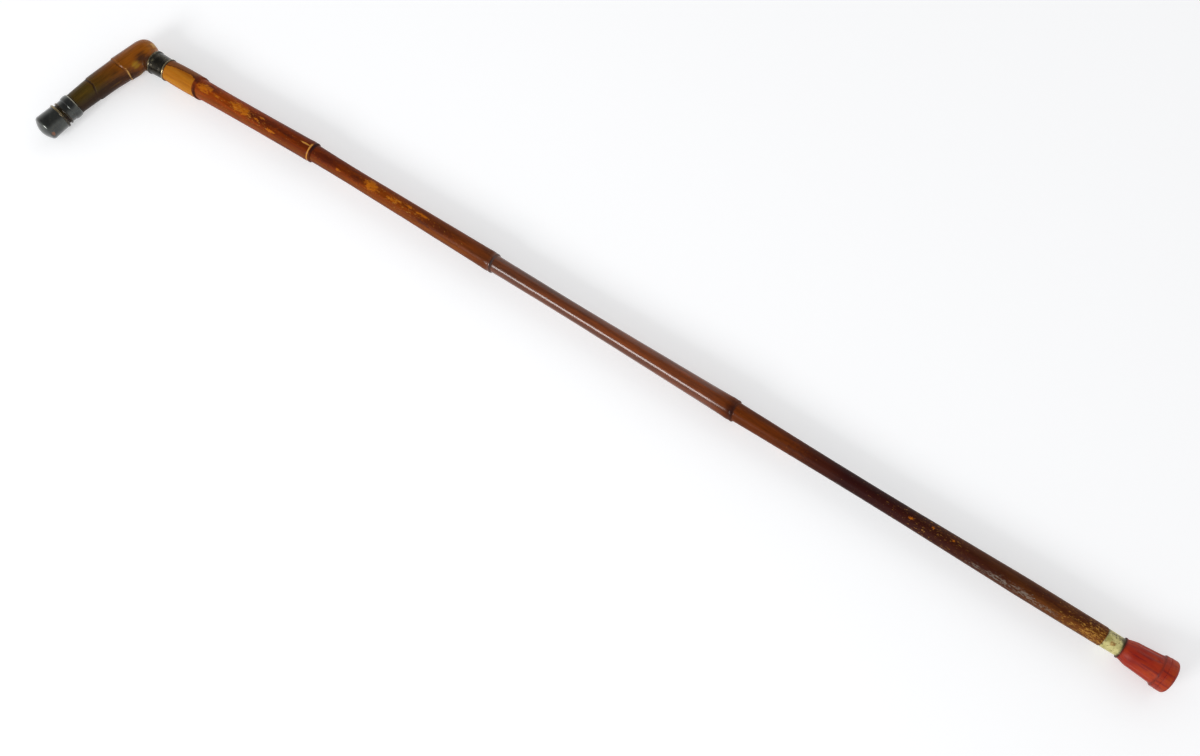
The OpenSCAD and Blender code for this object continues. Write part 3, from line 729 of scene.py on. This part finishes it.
def nail_tree():
    """Geometry nodes that set a nail at each point of a row, turned round the shaft's axis."""
    tree, given = new_tree("nails in a tube", "Nails", (
        ("Places", "Geometry", None), ("Nail", "Object", None), ("Tube Radius", "Float", None),
        ("Seed", "Int", None), ("Size Spread", "Float", None), ("Finish", "Material", None),
    ))
    turn = add(tree, "GeometryNodeInputNamedAttribute", {"Name": "turn"}, data_type="FLOAT")
    seat = add(tree, "ShaderNodeCombineXYZ", {
        "X": add(tree, "GeometryNodeInputPosition").part("X"),
        "Y": turn.work("COSINE") * given["Tube Radius"],
        "Z": turn.work("SINE") * given["Tube Radius"],
    })
    seated = add(tree, "GeometryNodeSetPosition", {"Geometry": given["Places"], "Position": seat})
    shape = add(tree, "GeometryNodeObjectInfo", {"Object": given["Nail"]}, "Geometry")
    aim = add(tree, "ShaderNodeCombineXYZ", {"X": turn - math.pi / 2})
    size = add(tree, "FunctionNodeRandomValue", {
        "Min": 1.0 - given["Size Spread"], "Max": 1.0, "Seed": given["Seed"],
    }, "Value", data_type="FLOAT")
    nails = add(tree, "GeometryNodeInstanceOnPoints", {
        "Points": seated, "Instance": shape, "Rotation": aim, "Scale": size})
    end_tree(tree, nails, given["Finish"])
    return tree


head = [(nail_head_h * math.cos(a) - nail_sink, nail_head_r * math.sin(a))
        for a in np.linspace(0, math.pi / 2, 9)]
nail = turned("nail", head + [(-nail_sink, nail_neck_r), (-nail_shank_l, nail_r), (-nail_l, 0.0)],
              rubbed_iron, sides=28, unevenness=0.14, unevenness_length=0.8, seed=1.0)
nail.transform(Matrix.Rotation(-math.pi / 2, 4, "Y"))
nail_shape = put("nail", nail)
nail_seats = bpy.data.meshes.new("nail seats")
nail_seats.from_pydata([(nail_x, 0, 0)] * len(nail_turns), [], [])
mark(nail_seats, "turn", [math.radians(a) for a in nail_turns])
nails = grown(put("nail seats", nail_seats), nail_tree(), nail=nail_shape,
              tube_radius=float(ferrule_r(nail_x)), seed=3, size_spread=0.08,
              finish=rubbed_iron.material)
bpy.data.objects.remove(nail_shape)
piece("ferrule_nails_iron", nails, "cane", ["ferrule_nails"])
paint(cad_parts["ferrule_plug"].data, iron)


# The rubber tip and its washer
# A moulded red rubber tip with a flange that meets the ground, shallow flutes along its barrel and
# a lip drawn thin over the brass. It pulls off, and a steel washer lies at the foot of its socket.
flange_r, flange_h = 11.58, 9.6
barrel_r = 10.2
shoulder_r, shoulder_l = 9.0, 9.5
cove_l = 2.4
flange_groove_x, groove = 6.5, 0.35
ground_edge_r = 2.4
tread = 1.2
socket_foot_x = 5.0
rubber_gap = 0.05
lip_t, lip_bead = 0.65, 0.45
flute_count, flute_depth = 12, 0.34


def rubber_finish():
    finish = Finish("red rubber", IOR=1.5, Specular_IOR_Level=0.2)
    where = finish.where()
    cloud = where.grain((0.02, 0.006, 0.006), detail=4)
    streak = where.grain((0.03, 0.0014, 0.0014), shift=5.0)
    colour = finish.mix(cloud.between(0.0, 1.0), "#901f10", "#ad3912")
    colour = finish.mix(streak.window(0.5, 0.66) * 0.6, colour, "#62101a")
    # orange where rubbed near the ground, partly a painted highlight on flange and barrel
    rubbed = finish.ragged("rubbed", where.grain(0.004, shift=8.0), 0.3).window(0.3, 1.0)
    colour = finish.mix(rubbed * 0.6, colour, "#ae4514")
    # painted shade, with some soiling, in the creases and at the mouth
    finish.feed("Base Color", finish.mix(finish.value("dirt"), colour, "#2a0f14"))
    finish.feed("Roughness", cloud.between(0.34, 0.52))
    finish.relief(where.grain(0.0007, detail=4, roughness=0.7), 0.00005)
    return finish


rubber = rubber_finish()
land_r = flange_r - ground_edge_r
flange_top_r = flange_r - groove * 1.2
shoulder_x = mouth_x - shoulder_l
barrel_x = flange_h + cove_l
mouth_r = ferrule_r(mouth_x) + rubber_gap
socket_r = ferrule_r(ferrule_foot_x) + rubber_gap
lip_r = mouth_r + lip_t
ground = [(0, 0.0)]
for ring_r in (land_r * 0.48, land_r * 0.82):
    ground += [(0, ring_r - 1), (tread, ring_r - 0.5), (tread, ring_r + 0.5), (0, ring_r + 1)]
ground = rounded(ground + [(0, land_r)], 0.2)
edge = [(ground_edge_r * (1 - math.cos(a)), land_r + ground_edge_r * math.sin(a))
        for a in np.linspace(0, math.pi / 2, 9)[1:]]
flange = rounded([
    edge[-1], (flange_groove_x - groove, flange_r), (flange_groove_x, flange_r - groove * 1.3),
    (flange_groove_x + groove, flange_r - groove / 2), (flange_h - groove, flange_r - groove / 2),
    (flange_h, flange_top_r),
], 0.22)[1:]
cove = [(barrel_x - cove_l * math.cos(a), barrel_r + (flange_top_r - barrel_r) * (1 - math.sin(a)))
        for a in np.linspace(0.2, math.pi / 2, 9)]
barrel = [(x, barrel_r + (shoulder_r - barrel_r) * (x - barrel_x) / (shoulder_x - barrel_x))
          for x in np.arange(barrel_x + 0.7, shoulder_x, 0.7)]
shoulder = [(shoulder_x + shoulder_l * t,
             lip_r + (shoulder_r - lip_r) * (1 + math.cos(math.pi * t)) / 2)
            for t in np.linspace(0, 0.88, 16)]
socket = rounded([
    shoulder[-1], (mouth_x - 0.8, lip_r + lip_bead), (mouth_x, lip_r + lip_bead * 0.8),
    (mouth_x, mouth_r), (ferrule_foot_x, socket_r), (socket_foot_x, socket_r), (socket_foot_x, 0.0),
], 0.16)[1:]
tip_points = ground + edge + flange + cove + barrel + shoulder + close_rings(socket, 2.0)
fluted = [slope(x - barrel_x + 0.8, 2.2) * slope(shoulder_x + 4.5 - x, 6) * (r > 8)
          for x, r in tip_points]
tip = turned("tip", tip_points, rubber, sides=192, fluted=fluted, flutes=flute_count,
             flute_depth=flute_depth, sharp=50, unevenness=0.12, unevenness_length=9.0, seed=8.0)
tip_co = points_of(tip)
x, r, turn = around(tip_co)
# the thin lip is uneven, with a shallow notch or two
notch_depth, notches_round = 0.55, 1.6
lip = bell(x - mouth_x, 1.2) * (r > ferrule_r(mouth_x) - 0.2)
lip_wave = np.array([
    noise.noise(Vector((math.cos(a) * notches_round, math.sin(a) * notches_round, 3.0)))
    for a in np.radians(turn)])
tip_co[:, 0] -= notch_depth * lip * np.clip(lip_wave + 0.25, 0, 1)
move_points(tip, tip_co)
# painted shade and soiling at the mouth, flange groove and cove; soiling in the ground's grooves
mark(tip, "dirt", np.max([
    0.9 * bell(x - mouth_x, 0.8),
    0.12 * bell(x - flange_groove_x, 0.4) * (r > flange_r - 0.7),
    0.45 * bell(x - flange_h - 0.5, 0.8) * (r > barrel_r - 0.2),
    0.6 * (x < 1.0) * (r < land_r) * (x > 0.2),
], axis=0))
# orange rubbed round the flange and barrel, partly a painted highlight
mark(tip, "rubbed", bell(x - 3.6, 2.4) * (r > 10) + 0.4 * bell(x - 16, 6))
piece("rubber_tip_red", tip, "tip", ["rubber_tip"])


def steel_finish():
    finish = Finish("stamped steel", Metallic=1.0)
    cloud = finish.where().grain(0.0015, detail=4)
    finish.feed("Base Color", cloud.ramp((0.35, "#8f8f8c"), (0.6, "#c2c2be")))
    finish.feed("Roughness", cloud.between(0.3, 0.5))
    return finish


paint(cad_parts["tip_washer"].data, steel_finish())


# The dowel
# A round hardwood peg, cut with the grain and glued into the bores of the shaft and the handle. It
# carries the joint and is out of sight inside the collar.
def hardwood_finish():
    finish = Finish("hardwood", Roughness=0.6)
    fibre = finish.where().grain((0.02, 0.0007, 0.0007), detail=4)
    finish.feed("Base Color", fibre.ramp((0.35, "#a9804f"), (0.65, "#cda876")))
    finish.relief(fibre, 0.00008)
    return finish


paint(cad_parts["neck_dowel"].data, hardwood_finish())


# The neck collar and its two rims
# A sleeve of sheet silver tapered to the neck, with a half-round wire soldered round each end. It
# is tarnished almost black, and the crests of both wires are rubbed paler.
line_w, line_depth = 0.22, 0.09
rim_h, solder_t = 0.55, 0.02
upper_rim_w, lower_rim_w = 2.2, 1.6


def silver_finish(name, dark, light, bright, rubbed_bare, gloss):
    """Tarnished silver: two dark tones in clouds, and bare metal where rubbing keeps it bright."""
    finish = Finish(name, Metallic=1.0, Coat_Weight=gloss, Coat_Roughness=0.18)
    where = finish.where()
    cloud = where.grain(0.006, detail=5, roughness=0.6)
    fine = where.grain(0.0011, detail=4, roughness=0.7, shift=4.0)
    colour = finish.mix(cloud.between(0.0, 1.0), dark, light)
    colour = finish.mix(fine.window(0.55, 0.72) * 0.5, colour, "#5c5136")
    copper = finish.ragged("copper", fine, 0.4).window(0.35, 0.9)
    colour = finish.mix(copper * 0.8, colour, "#7b4a2c")
    rubbed = finish.ragged("rubbed", fine, 0.3).window(0.45, rubbed_bare)
    finish.feed("Base Color", finish.mix(rubbed, colour, bright))
    finish.feed("Roughness", cloud.between(0.13, 0.27))
    finish.relief(fine, 0.00002)
    return finish


silver = silver_finish("tarnished silver", "#181a19", "#3d413c", "#8c8672", 0.95, 1.0)
dark_silver = silver_finish("darkest silver", "#13110d", "#3a352a", "#8c8468", 0.95, 0.3)
silver_wire = silver_finish("rubbed silver wire", "#1e1c18", "#3c382f", "#8f7d5a", 1.0, 0.3)


def sleeve(name, node, points, place, seed, slot="silver", finish=silver, copper=None, rubbed=None,
           uneven=0.08, sharp=60, gap=0.7):
    """A turned silver piece. Its wear is given by functions of place, radius and turn."""
    mesh = turned(name, close_rings(points, gap), finish, sides=112, sharp=sharp,
                  unevenness=uneven, unevenness_length=7.0, seed=seed)
    x, r, turn = around(points_of(mesh))
    for label, rule in (("copper", copper), ("rubbed", rubbed)):
        mark(mesh, label, rule(x, r, turn) if rule else np.zeros(len(x)))
    return piece(name, mesh, "cane", [node], place)


def rim(name, node, x0, x1, r0, r1, place, seed, height=rim_h, finish=silver_wire, uneven=0.05,
        **wear):
    """A half-round wire soldered round a sleeve."""
    wire = []
    for a in np.linspace(math.pi, 0, 17):
        t = (1 + math.cos(a)) / 2
        wire.append((x0 + (x1 - x0) * t, r0 + (r1 - r0) * t + solder_t + height * math.sin(a)))
    return sleeve(name, node, closed(wire), place, seed, "silver_rim", finish, uneven=uneven,
                  gap=0.4, **wear)


def near(turn, angle, spread):
    """1 at an angle round the piece, falling off over the spread in degrees."""
    return bell(past(turn, angle), spread)


collar_wall = [(collar_foot_x, collar_foot_r - silver_t), (collar_foot_x, collar_foot_r)]
for line_x in (collar_foot_x + 3.4, collar_foot_x + 4.3, collar_top_x - 4.2, collar_top_x - 3.3):
    line_r = float(collar_r(line_x))
    collar_wall += [(line_x - line_w, line_r), (line_x, line_r - line_depth),
                    (line_x + line_w, line_r)]
collar_wall += [(collar_top_x, collar_top_r), (collar_top_x, collar_top_r - silver_t)]
sleeve("silver_collar", "neck_collar", closed(rounded(collar_wall, 0.08, 2)), above_knot_3, 11.0,
       finish=dark_silver,
       rubbed=lambda x, r, turn: (0.75 * near(turn, 74, 20) * bell(x - 851.3, 1.6)
                                  + 0.45 * near(turn, 118, 26) * bell(x - 846, 6)))
upper_rim_x = collar_top_x - upper_rim_w
rim("collar_upper_rim", "neck_collar_upper_rim", upper_rim_x, collar_top_x, collar_r(upper_rim_x),
    collar_top_r, above_knot_3, 12.0,
    rubbed=lambda x, r, turn: 0.55 * slope(r - 9.35, 0.15) + 0.25 * near(turn, 40, 60))
lower_rim_x = collar_foot_x + lower_rim_w
rim("collar_lower_rim", "neck_collar_lower_rim", collar_foot_x, lower_rim_x, collar_foot_r,
    collar_r(lower_rim_x), above_knot_3, 13.0,
    rubbed=lambda x, r, turn: 0.7 * slope(r - 8.7, 0.2) + 0.6 * near(turn, 30, 50))


# The horn handle
# Carved from one piece of horn, bent to an L, with two knots cut in it like a bamboo's and a hollow
# beside the neck. It is amber at the heel and olive towards the cap, and polished by the hand.
heel_rise, heel_back = 7.6, 11.5
grip_rise, grip_reach = 28.4, 62.0
heel_slope, grip_end_slope = math.radians(19), math.radians(10)
heel_r, grip_end_r = 11.4, 8.6
heel_round_l, heel_fullness = 12.0, 2.5
grip_knot_step = 0.5
band_l, band_r = 11.2, 8.8
cap_gap, cap_spigot_l = 1.7, 9.0
horn_spigot_r = band_r - silver_t - glue_gap
horn_spigot_l = band_l + cap_gap + cap_spigot_l
horn_spigot_in = 4
grip_start, grip_end = np.array([heel_rise, -heel_back]), np.array([grip_rise, grip_reach])
grip_l = float(np.linalg.norm(grip_end - grip_start))
grip_pull_1 = grip_start + grip_l / 3 * np.array([math.sin(heel_slope), math.cos(heel_slope)])
grip_pull_2 = grip_end - grip_l / 3 * np.array([math.sin(grip_end_slope), math.cos(grip_end_slope)])
handle_end = (above_knot_3 @ Matrix.Translation((collar_top_x + grip_rise, grip_reach, 0))
              @ Matrix.Rotation(math.pi / 2 - grip_end_slope, 4, "Z"))


def grip_point(t):
    """A point of the grip's middle line, as distances above and beside the collar's top."""
    t = np.asarray(t, float)[..., None]
    return ((1 - t) ** 3 * grip_start + 3 * t * (1 - t) ** 2 * grip_pull_1
            + 3 * t * t * (1 - t) * grip_pull_2 + t ** 3 * grip_end)


def grip_r(t):
    """Radius of the grip before its knots are cut."""
    round_t = heel_round_l / grip_l
    taper = heel_r + (grip_end_r - heel_r) * np.clip(t - round_t, 0, 1) / (1 - round_t)
    heel = (1 - np.clip(1 - t / round_t, 0, 1) ** heel_fullness) ** (1 / heel_fullness)
    return taper * heel


def direction(line):
    """Unit vectors along a row of points."""
    run = np.gradient(line, axis=0)
    return run / np.linalg.norm(run, axis=1)[:, None]


def horn_finish():
    finish = Finish("polished horn", IOR=1.54, Specular_IOR_Level=0.08, Coat_Weight=0.14,
                    Coat_Roughness=0.12, Subsurface_Weight=0.1, Subsurface_Scale=0.003,
                    Subsurface_Radius=(1.0, 0.5, 0.2))
    flow = finish.value("flow", "Vector")
    wave = flow.grain((0.045, 0.012, 0.012))
    vein = flow.grain((0.03, 0.0022, 0.0022), detail=5, roughness=0.6, shift=2.0)
    fine = flow.grain((0.006, 0.0005, 0.0005), detail=2, shift=6.0)
    colour = finish.ragged("along", wave, 0.07).ramp(
        (0.0, "#9c5c12"), (0.14, "#8c4c0a"), (0.34, "#824706"), (0.5, "#6f3c04"),
        (0.64, "#583606"), (0.78, "#463408"), (1.0, "#403008"))
    colour = finish.shade(colour, vein.between(0.66, 1.28))
    colour = finish.shade(colour, fine.between(0.94, 1.06))
    shadow = finish.ragged("shadow", vein, 0.4)
    colour = finish.mix(shadow.window(0.1, 0.9) * 0.85, colour, "#220c03")
    amber = finish.ragged("amber", vein, 0.4).window(0.2, 0.9)
    colour = finish.mix(amber * 0.8, colour, "#9c7414")
    # pale where worn, partly a painted highlight
    pale = finish.ragged("pale", fine, 0.2).window(0.25, 0.9)
    finish.feed("Base Color", finish.mix(pale * 0.8, colour, "#c79a55"))
    finish.feed("Roughness", wave.between(0.2, 0.34) + shadow * 0.25)
    finish.relief(vein + fine * 0.3, 0.00006)
    return finish


# the grip is laid in rings along its middle line, and a neck and a spigot are turned
horn = horn_finish()
grip_sides = 72
heel_t = heel_round_l / grip_l
grip_t = np.concatenate([heel_t * (1 - np.cos(np.linspace(0.12, math.pi / 2, 14))),
                         np.linspace(heel_t, 1, 60)[1:]])
centre = grip_point(grip_t)
run = direction(centre)
turn = np.linspace(0, 2 * math.pi, grip_sides, endpoint=False)
across = grip_r(grip_t)[:, None] * np.cos(turn)
rings = np.stack([collar_top_x + centre[:, :1] + across * run[:, 1:],
                  centre[:, 1:] - across * run[:, :1],
                  grip_r(grip_t)[:, None] * np.sin(turn)], axis=-1)
blank = bmesh.new()
grid = [[blank.verts.new(p) for p in ring] for ring in rings]
for low, high in zip(grid, grid[1:]):
    for k in range(grip_sides):
        n = (k + 1) % grip_sides
        blank.faces.new((low[k], low[n], high[n], high[k]))
blank.faces.new(grid[0])
blank.faces.new(grid[-1])
neck_top_x = collar_top_x + 0.8 * float(grip_point(heel_back / grip_l)[0])
neck = [(neck_joint_x, 0), (neck_joint_x, collar_r(neck_joint_x) - neck_fit),
        (collar_top_x, collar_top_r - neck_fit), (collar_top_x + 0.05, collar_top_r),
        (collar_top_x + 2.5, collar_top_r + 0.15),
        (neck_top_x, (collar_top_r + heel_r) / 2), (neck_top_x, 0)]
spigot = [(-horn_spigot_in, 0), (-horn_spigot_in, horn_spigot_r), (horn_spigot_l, horn_spigot_r),
          (horn_spigot_l, 0)]
for outline, place in ((neck, Matrix()), (spigot, above_knot_3.inverted() @ handle_end)):
    part = turned("blank", outline, horn, sides=64)
    part.transform(place)
    blank.from_mesh(part)
    bpy.data.meshes.remove(part)
bmesh.ops.recalc_face_normals(blank, faces=blank.faces)
handle_mesh = bpy.data.meshes.new("handle")
blank.to_mesh(handle_mesh)
blank.free()
handle_blank = put("handle", handle_mesh)
melt = handle_blank.modifiers.new("one piece", "REMESH")
melt.mode = "VOXEL"
melt.voxel_size = 0.36
handle = as_mesh(handle_blank)


def smooth(shape, verts):
    bmesh.ops.smooth_vert(shape, verts=verts, factor=0.5,
                          use_axis_x=True, use_axis_y=True, use_axis_z=True)


# the neck grows out of the grip in a soft hollow curve
horn_foot_x, hollow_reach = collar_top_x + 0.9, 19
shape = bmesh.new()
shape.from_mesh(handle)
neck_corner = [v for v in shape.verts
               if horn_foot_x < v.co.x < collar_top_x + hollow_reach and v.co.y < hollow_reach]
for _ in range(26):
    smooth(shape, neck_corner)
for _ in range(3):
    smooth(shape, [v for v in shape.verts if v.co.x > horn_foot_x])
shape.to_mesh(handle)
shape.free()
handle.polygons.foreach_set("use_smooth", [True] * len(handle.polygons))

# where each point lies: t along the middle line, r from it, side round it from the outer side
co = points_of(handle)
fine_t = np.linspace(0, 1, 301)
fine_line = grip_point(fine_t)
flat = co[:, :2] - np.array([collar_top_x, 0])
nearest = np.argmin(((flat[:, None, :] - fine_line[None]) ** 2).sum(2), axis=1)
t = fine_t[nearest]
fine_run = direction(fine_line)[nearest]
offset = flat - fine_line[nearest]
out = offset[:, 0] * fine_run[:, 1] - offset[:, 1] * fine_run[:, 0]
r = np.hypot(out, co[:, 2])
turn = np.degrees(np.arctan2(co[:, 2], out))
side = np.abs(turn)
grip_skin = slope(co[:, 0] - collar_top_x - 1.2, 2) * slope(0.992 - t, 0.01) * slope(r, 3)
# each knot's ring wanders round the handle, as places along it at angles from its outer side
knot_line_1 = np.interp(side, (0, 53, 110, 136, 168, 180),
                        (0.448, 0.434, 0.417, 0.396, 0.402, 0.406))
knot_line_2 = np.interp(side, (0, 63, 111, 155, 180), (0.755, 0.748, 0.735, 0.768, 0.778))
d1, d2 = (t - knot_line_1) * grip_l, (t - knot_line_2) * grip_l
push = np.zeros(len(co))
for d, reach, ridge_h, groove_h in ((d1, 22.0, 0.12, 0.16), (d2, 20.0, 0.0, 0.1)):
    push += grip_knot_step * np.clip(1 + d / reach, 0, 1) ** 2 * np.clip(0.5 - d / 1.4, 0, 1)
    push += ridge_h * bell(d + 0.6, 0.8) - groove_h * bell(d - 0.8, 0.65)
# a bud at knot 1 on the inner side, the hollow beside the neck and the rise after it
inner = np.radians(180 - side) * r
bud = (d1 - 1.0) ** 2 / 3.2 ** 2 + (inner - 1.0) ** 2 / 1.8 ** 2
push += 0.5 * np.exp(-bud * 1.4) - 0.22 * bell(np.sqrt(bud) - 1.45, 0.28)
push -= bell(t - 0.205, 0.075, side - 138, 24)
push += 0.35 * bell(t - 0.30, 0.04, side - 146, 22)
push += 0.12 * np.array([noise.noise(Vector(p) / 11) for p in co])
push *= grip_skin
thick = np.maximum(r, 0.1)
outward = np.stack([out / thick * fine_run[:, 1], -out / thick * fine_run[:, 0], co[:, 2] / thick],
                   axis=1)
# the cap's end keeps inside the model's outline, so the knots are cut in and not built up
co += outward * (push - grip_knot_step / 2 * grip_skin)[:, None]
move_points(handle, co)
along_line = t * grip_l + (offset * fine_run).sum(1)
mark(handle, "flow", np.stack([along_line, out, co[:, 2]], axis=1) * mm)
mark(handle, "along", t)
# painted shade: darker on the underside, in the knots' grooves, by the hollow and at the collar
under = slope(side - 122, 40) * slope(t - 0.16, 0.2) * 0.9
groove_shade = 0.9 * bell(d2 - 0.9, 0.9) * slope(side, 60) + 0.5 * bell(d1 - 1.2, 0.8)
cloud = bell(t - 0.192, 0.08, side - 134, 26) + 0.5 * bell(t - 0.5, 0.07, side - 120, 16)
# painted shade and darker horn in the corner against the collar
corner = 1.05 * bell(co[:, 0] - collar_top_x - 1.0, 3.6) * slope(co[:, 1] + 3, 6)
mark(handle, "shadow", np.clip(np.max([under, groove_shade, cloud, corner], axis=0), 0, 1))
mark(handle, "amber", bell(t - 0.285, 0.05, side - 146, 20))
# pale where worn along knot 1's ridge and round the heel, partly a painted highlight
ridge = bell(d1 + 0.5, 0.6) * (0.35 + 0.65 * bell(side - 158, 22))
worn_and_lit_heel = 0.9 * bell(t - 0.02, 0.03, turn - 112, 26) + 0.5 * bell(t - 0.06, 0.05, turn + 30, 30)
mark(handle, "pale", np.clip(ridge + worn_and_lit_heel, 0, 1))
paint(handle, horn)
piece("horn_handle", handle, "cane", ["handle"], above_knot_3)


# The end band and its two rims
# A silver band round the handle's end, with a broad half-round rim against the horn and a thin one
# towards the cap. The broad rim is rubbed pale along its upper edge.
broad_rim_w, broad_rim_h = 6.2, 0.85
thin_rim_w = 1.5
band_wall = [(0, band_r - silver_t), (0, band_r), (band_l, band_r), (band_l, band_r - silver_t)]
sleeve("silver_band", "end_band", closed(rounded(band_wall, 0.12)), handle_end, 21.0,
       copper=lambda x, r, turn: slope(x - 8.5, 2) * (0.5 + 0.5 * near(turn, -30, 70)))
rim("band_upper_rim", "end_band_upper_rim", 0, broad_rim_w, band_r, band_r, handle_end, 22.0,
    height=broad_rim_h, finish=silver, uneven=0.07,
    rubbed=lambda x, r, turn: 1.1 * bell(x - 0.5, 0.35) * (0.35 + near(turn, 100, 60)))
rim("band_lower_rim", "end_band_lower_rim", band_l - thin_rim_w, band_l, band_r, band_r,
    handle_end, 23.0,
    copper=lambda x, r, turn: 0.8 * near(turn, 150, 50),
    rubbed=lambda x, r, turn: 0.8 * slope(r - 9.1, 0.2) * near(turn, 130, 45))


# The end cap, its rim and the cement
# A cap pressed from sheet silver, filled with cement and pushed on the horn's spigot, a little off
# the band, so that horn shows in the gap. Its shallow dome has a rounded shoulder.
cap_x = band_l + cap_gap
cap_l = 19.8
cap_mouth_r, cap_wall_r = 9.5, 10.1
cap_dome_h, cap_shoulder_r = 2.4, 3.0
cap_shoulder_x = cap_x + cap_l - cap_dome_h - cap_shoulder_r
cap_rim_w = 1.8


def cap_outline(inset):
    """The cap from its mouth over the shoulder to the middle of the dome."""
    points = [(cap_x, cap_mouth_r - inset), (cap_shoulder_x, cap_wall_r - inset)]
    for a in np.linspace(0.2, 1.2, 7):
        points.append((cap_shoulder_x + (cap_shoulder_r - inset) * math.sin(a),
                       cap_wall_r - cap_shoulder_r + (cap_shoulder_r - inset) * math.cos(a)))
    edge_x, edge_r = points[-1]
    top_x = cap_x + cap_l - inset
    return points + [(top_x - (top_x - edge_x) * (1 - t) ** 2, edge_r * (1 - t))
                     for t in np.linspace(0, 1, 12)[1:]]


cap_wall = close_rings(cap_outline(0.0), 0.8) + cap_outline(silver_t)[::-1] + [(cap_x, cap_mouth_r)]
sleeve("silver_cap", "end_cap", cap_wall, handle_end, 31.0, uneven=0.12, sharp=70,
       copper=lambda x, r, turn: (
           0.9 * slope(cap_x + 4.5 - x, 3) * near(turn, 165, 40)
           + 0.62 * near(turn, 146, 24) * slope(cap_shoulder_x + 1 - x, 4)
           + 1.1 * near(turn, 12, 14) * bell(x - cap_shoulder_x - 0.3, 1.4)),
       rubbed=lambda x, r, turn: 0.5 * near(turn, 75, 18) * bell(x - cap_x - 9, 3.5))
rim_end_r = cap_mouth_r + (cap_wall_r - cap_mouth_r) * cap_rim_w / (cap_shoulder_x - cap_x)
rim("cap_rim", "end_cap_rim", cap_x, cap_x + cap_rim_w, cap_mouth_r, rim_end_r, handle_end, 32.0,
    copper=lambda x, r, turn: 0.9 * near(turn, 165, 35),
    rubbed=lambda x, r, turn: 0.75 * slope(r - 9.8, 0.2) * (0.4 + near(turn, 100, 60)))


def cement_finish():
    finish = Finish("cement", Roughness=0.75)
    cloud = finish.where().grain(0.001, detail=5)
    finish.feed("Base Color", cloud.ramp((0.35, "#4b2a1c"), (0.65, "#7c5138")))
    finish.relief(cloud, 0.0001)
    return finish


paint(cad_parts["end_cap_cement"].data, cement_finish())


# The studio
# White paper that the cane lies on, a small low window on the side that the handle points to, a
# large one far off on the other side, and soft light from all round. Its sizes are in metres.
floor_z, floor_half = cad_box[0][2], 6.0
floor_mesh = bpy.data.meshes.new("floor")
floor_mesh.from_pydata([(-floor_half, -floor_half, floor_z), (floor_half, -floor_half, floor_z),
                        (floor_half, floor_half, floor_z), (-floor_half, floor_half, floor_z)],
                       [], [(0, 1, 2, 3)])
floor = put("floor", floor_mesh)


def paper_finish():
    """White paper that the camera and reflections see a little brighter than it is lit."""
    material = bpy.data.materials.new("white paper")
    material.use_nodes = True
    tree = material.node_tree
    tree.nodes.remove(tree.nodes["Principled BSDF"])
    paper = add(tree, "ShaderNodeBsdfDiffuse", {"Color": tone("#e2e3e5")})
    glow = add(tree, "ShaderNodeEmission", {"Color": (1, 1, 1, 1), "Strength": 0.385})
    brighter = add(tree, "ShaderNodeAddShader", {0: paper, 1: glow})
    camera_ray, glossy_ray, through_ray = (
        add(tree, "ShaderNodeLightPath", output="Is " + kind + " Ray")
        for kind in ("Camera", "Glossy", "Transmission"))
    seen = (camera_ray + glossy_ray + through_ray).work("MINIMUM", 1.0)
    surface = add(tree, "ShaderNodeMixShader", {0: seen, 1: paper, 2: brighter})
    tree.links.new(surface.socket, tree.nodes["Material Output"].inputs["Surface"])
    return material


floor_mesh.materials.append(paper_finish())

world = bpy.data.worlds.new("studio")
bpy.context.scene.world = world
world.use_nodes = True
sky = world.node_tree
# the room is white round the horizon and dim overhead
level = add(sky, "ShaderNodeMapRange", {
    "Value": add(sky, "ShaderNodeTexCoord", output="Generated").part("Z"),
    "From Min": 0.3, "From Max": 0.9, "To Min": 1.0, "To Max": 0.29,
}, interpolation_type="SMOOTHSTEP")
background = sky.nodes["Background"]
background.inputs["Color"].default_value = (1, 1, 1, 1)
sky.links.new(level.socket, background.inputs["Strength"])


def aimed(name, data, at, aim):
    """An object at a place, turned to look at another."""
    made = put(name, data)
    made.location = at
    made.rotation_euler = (Vector(aim) - made.location).to_track_quat("-Z", "Y").to_euler()
    return made


for name, at, aim, width, height, watts in (
    ("window", (0.76, 1.31, 0.68), (0.44, 0.0, 0.0), 0.55, 0.45, 11.2),
    ("far window", (0.2, -3.0, 2.6), (0.45, 0.0, 0.0), 4.0, 2.5, 12.0),
):
    light = bpy.data.lights.new(name, "AREA")
    light.shape = "RECTANGLE"
    light.size, light.size_y, light.energy = width, height, watts
    aimed(name, light, at, aim)

# the camera looks down at the cane from seventy degrees
camera = bpy.data.cameras.new("camera")
camera.sensor_fit = "HORIZONTAL"
camera.sensor_width = 36.0
camera.lens = 37.5
camera.clip_start, camera.clip_end = 0.01, 50.0
viewer = aimed("camera", camera, (0.2564, 0.2826, 0.8271), (0.4226, 0.0316, 0.0))
bpy.context.scene.camera = viewer
bpy.context.scene.view_settings.view_transform = "Standard"
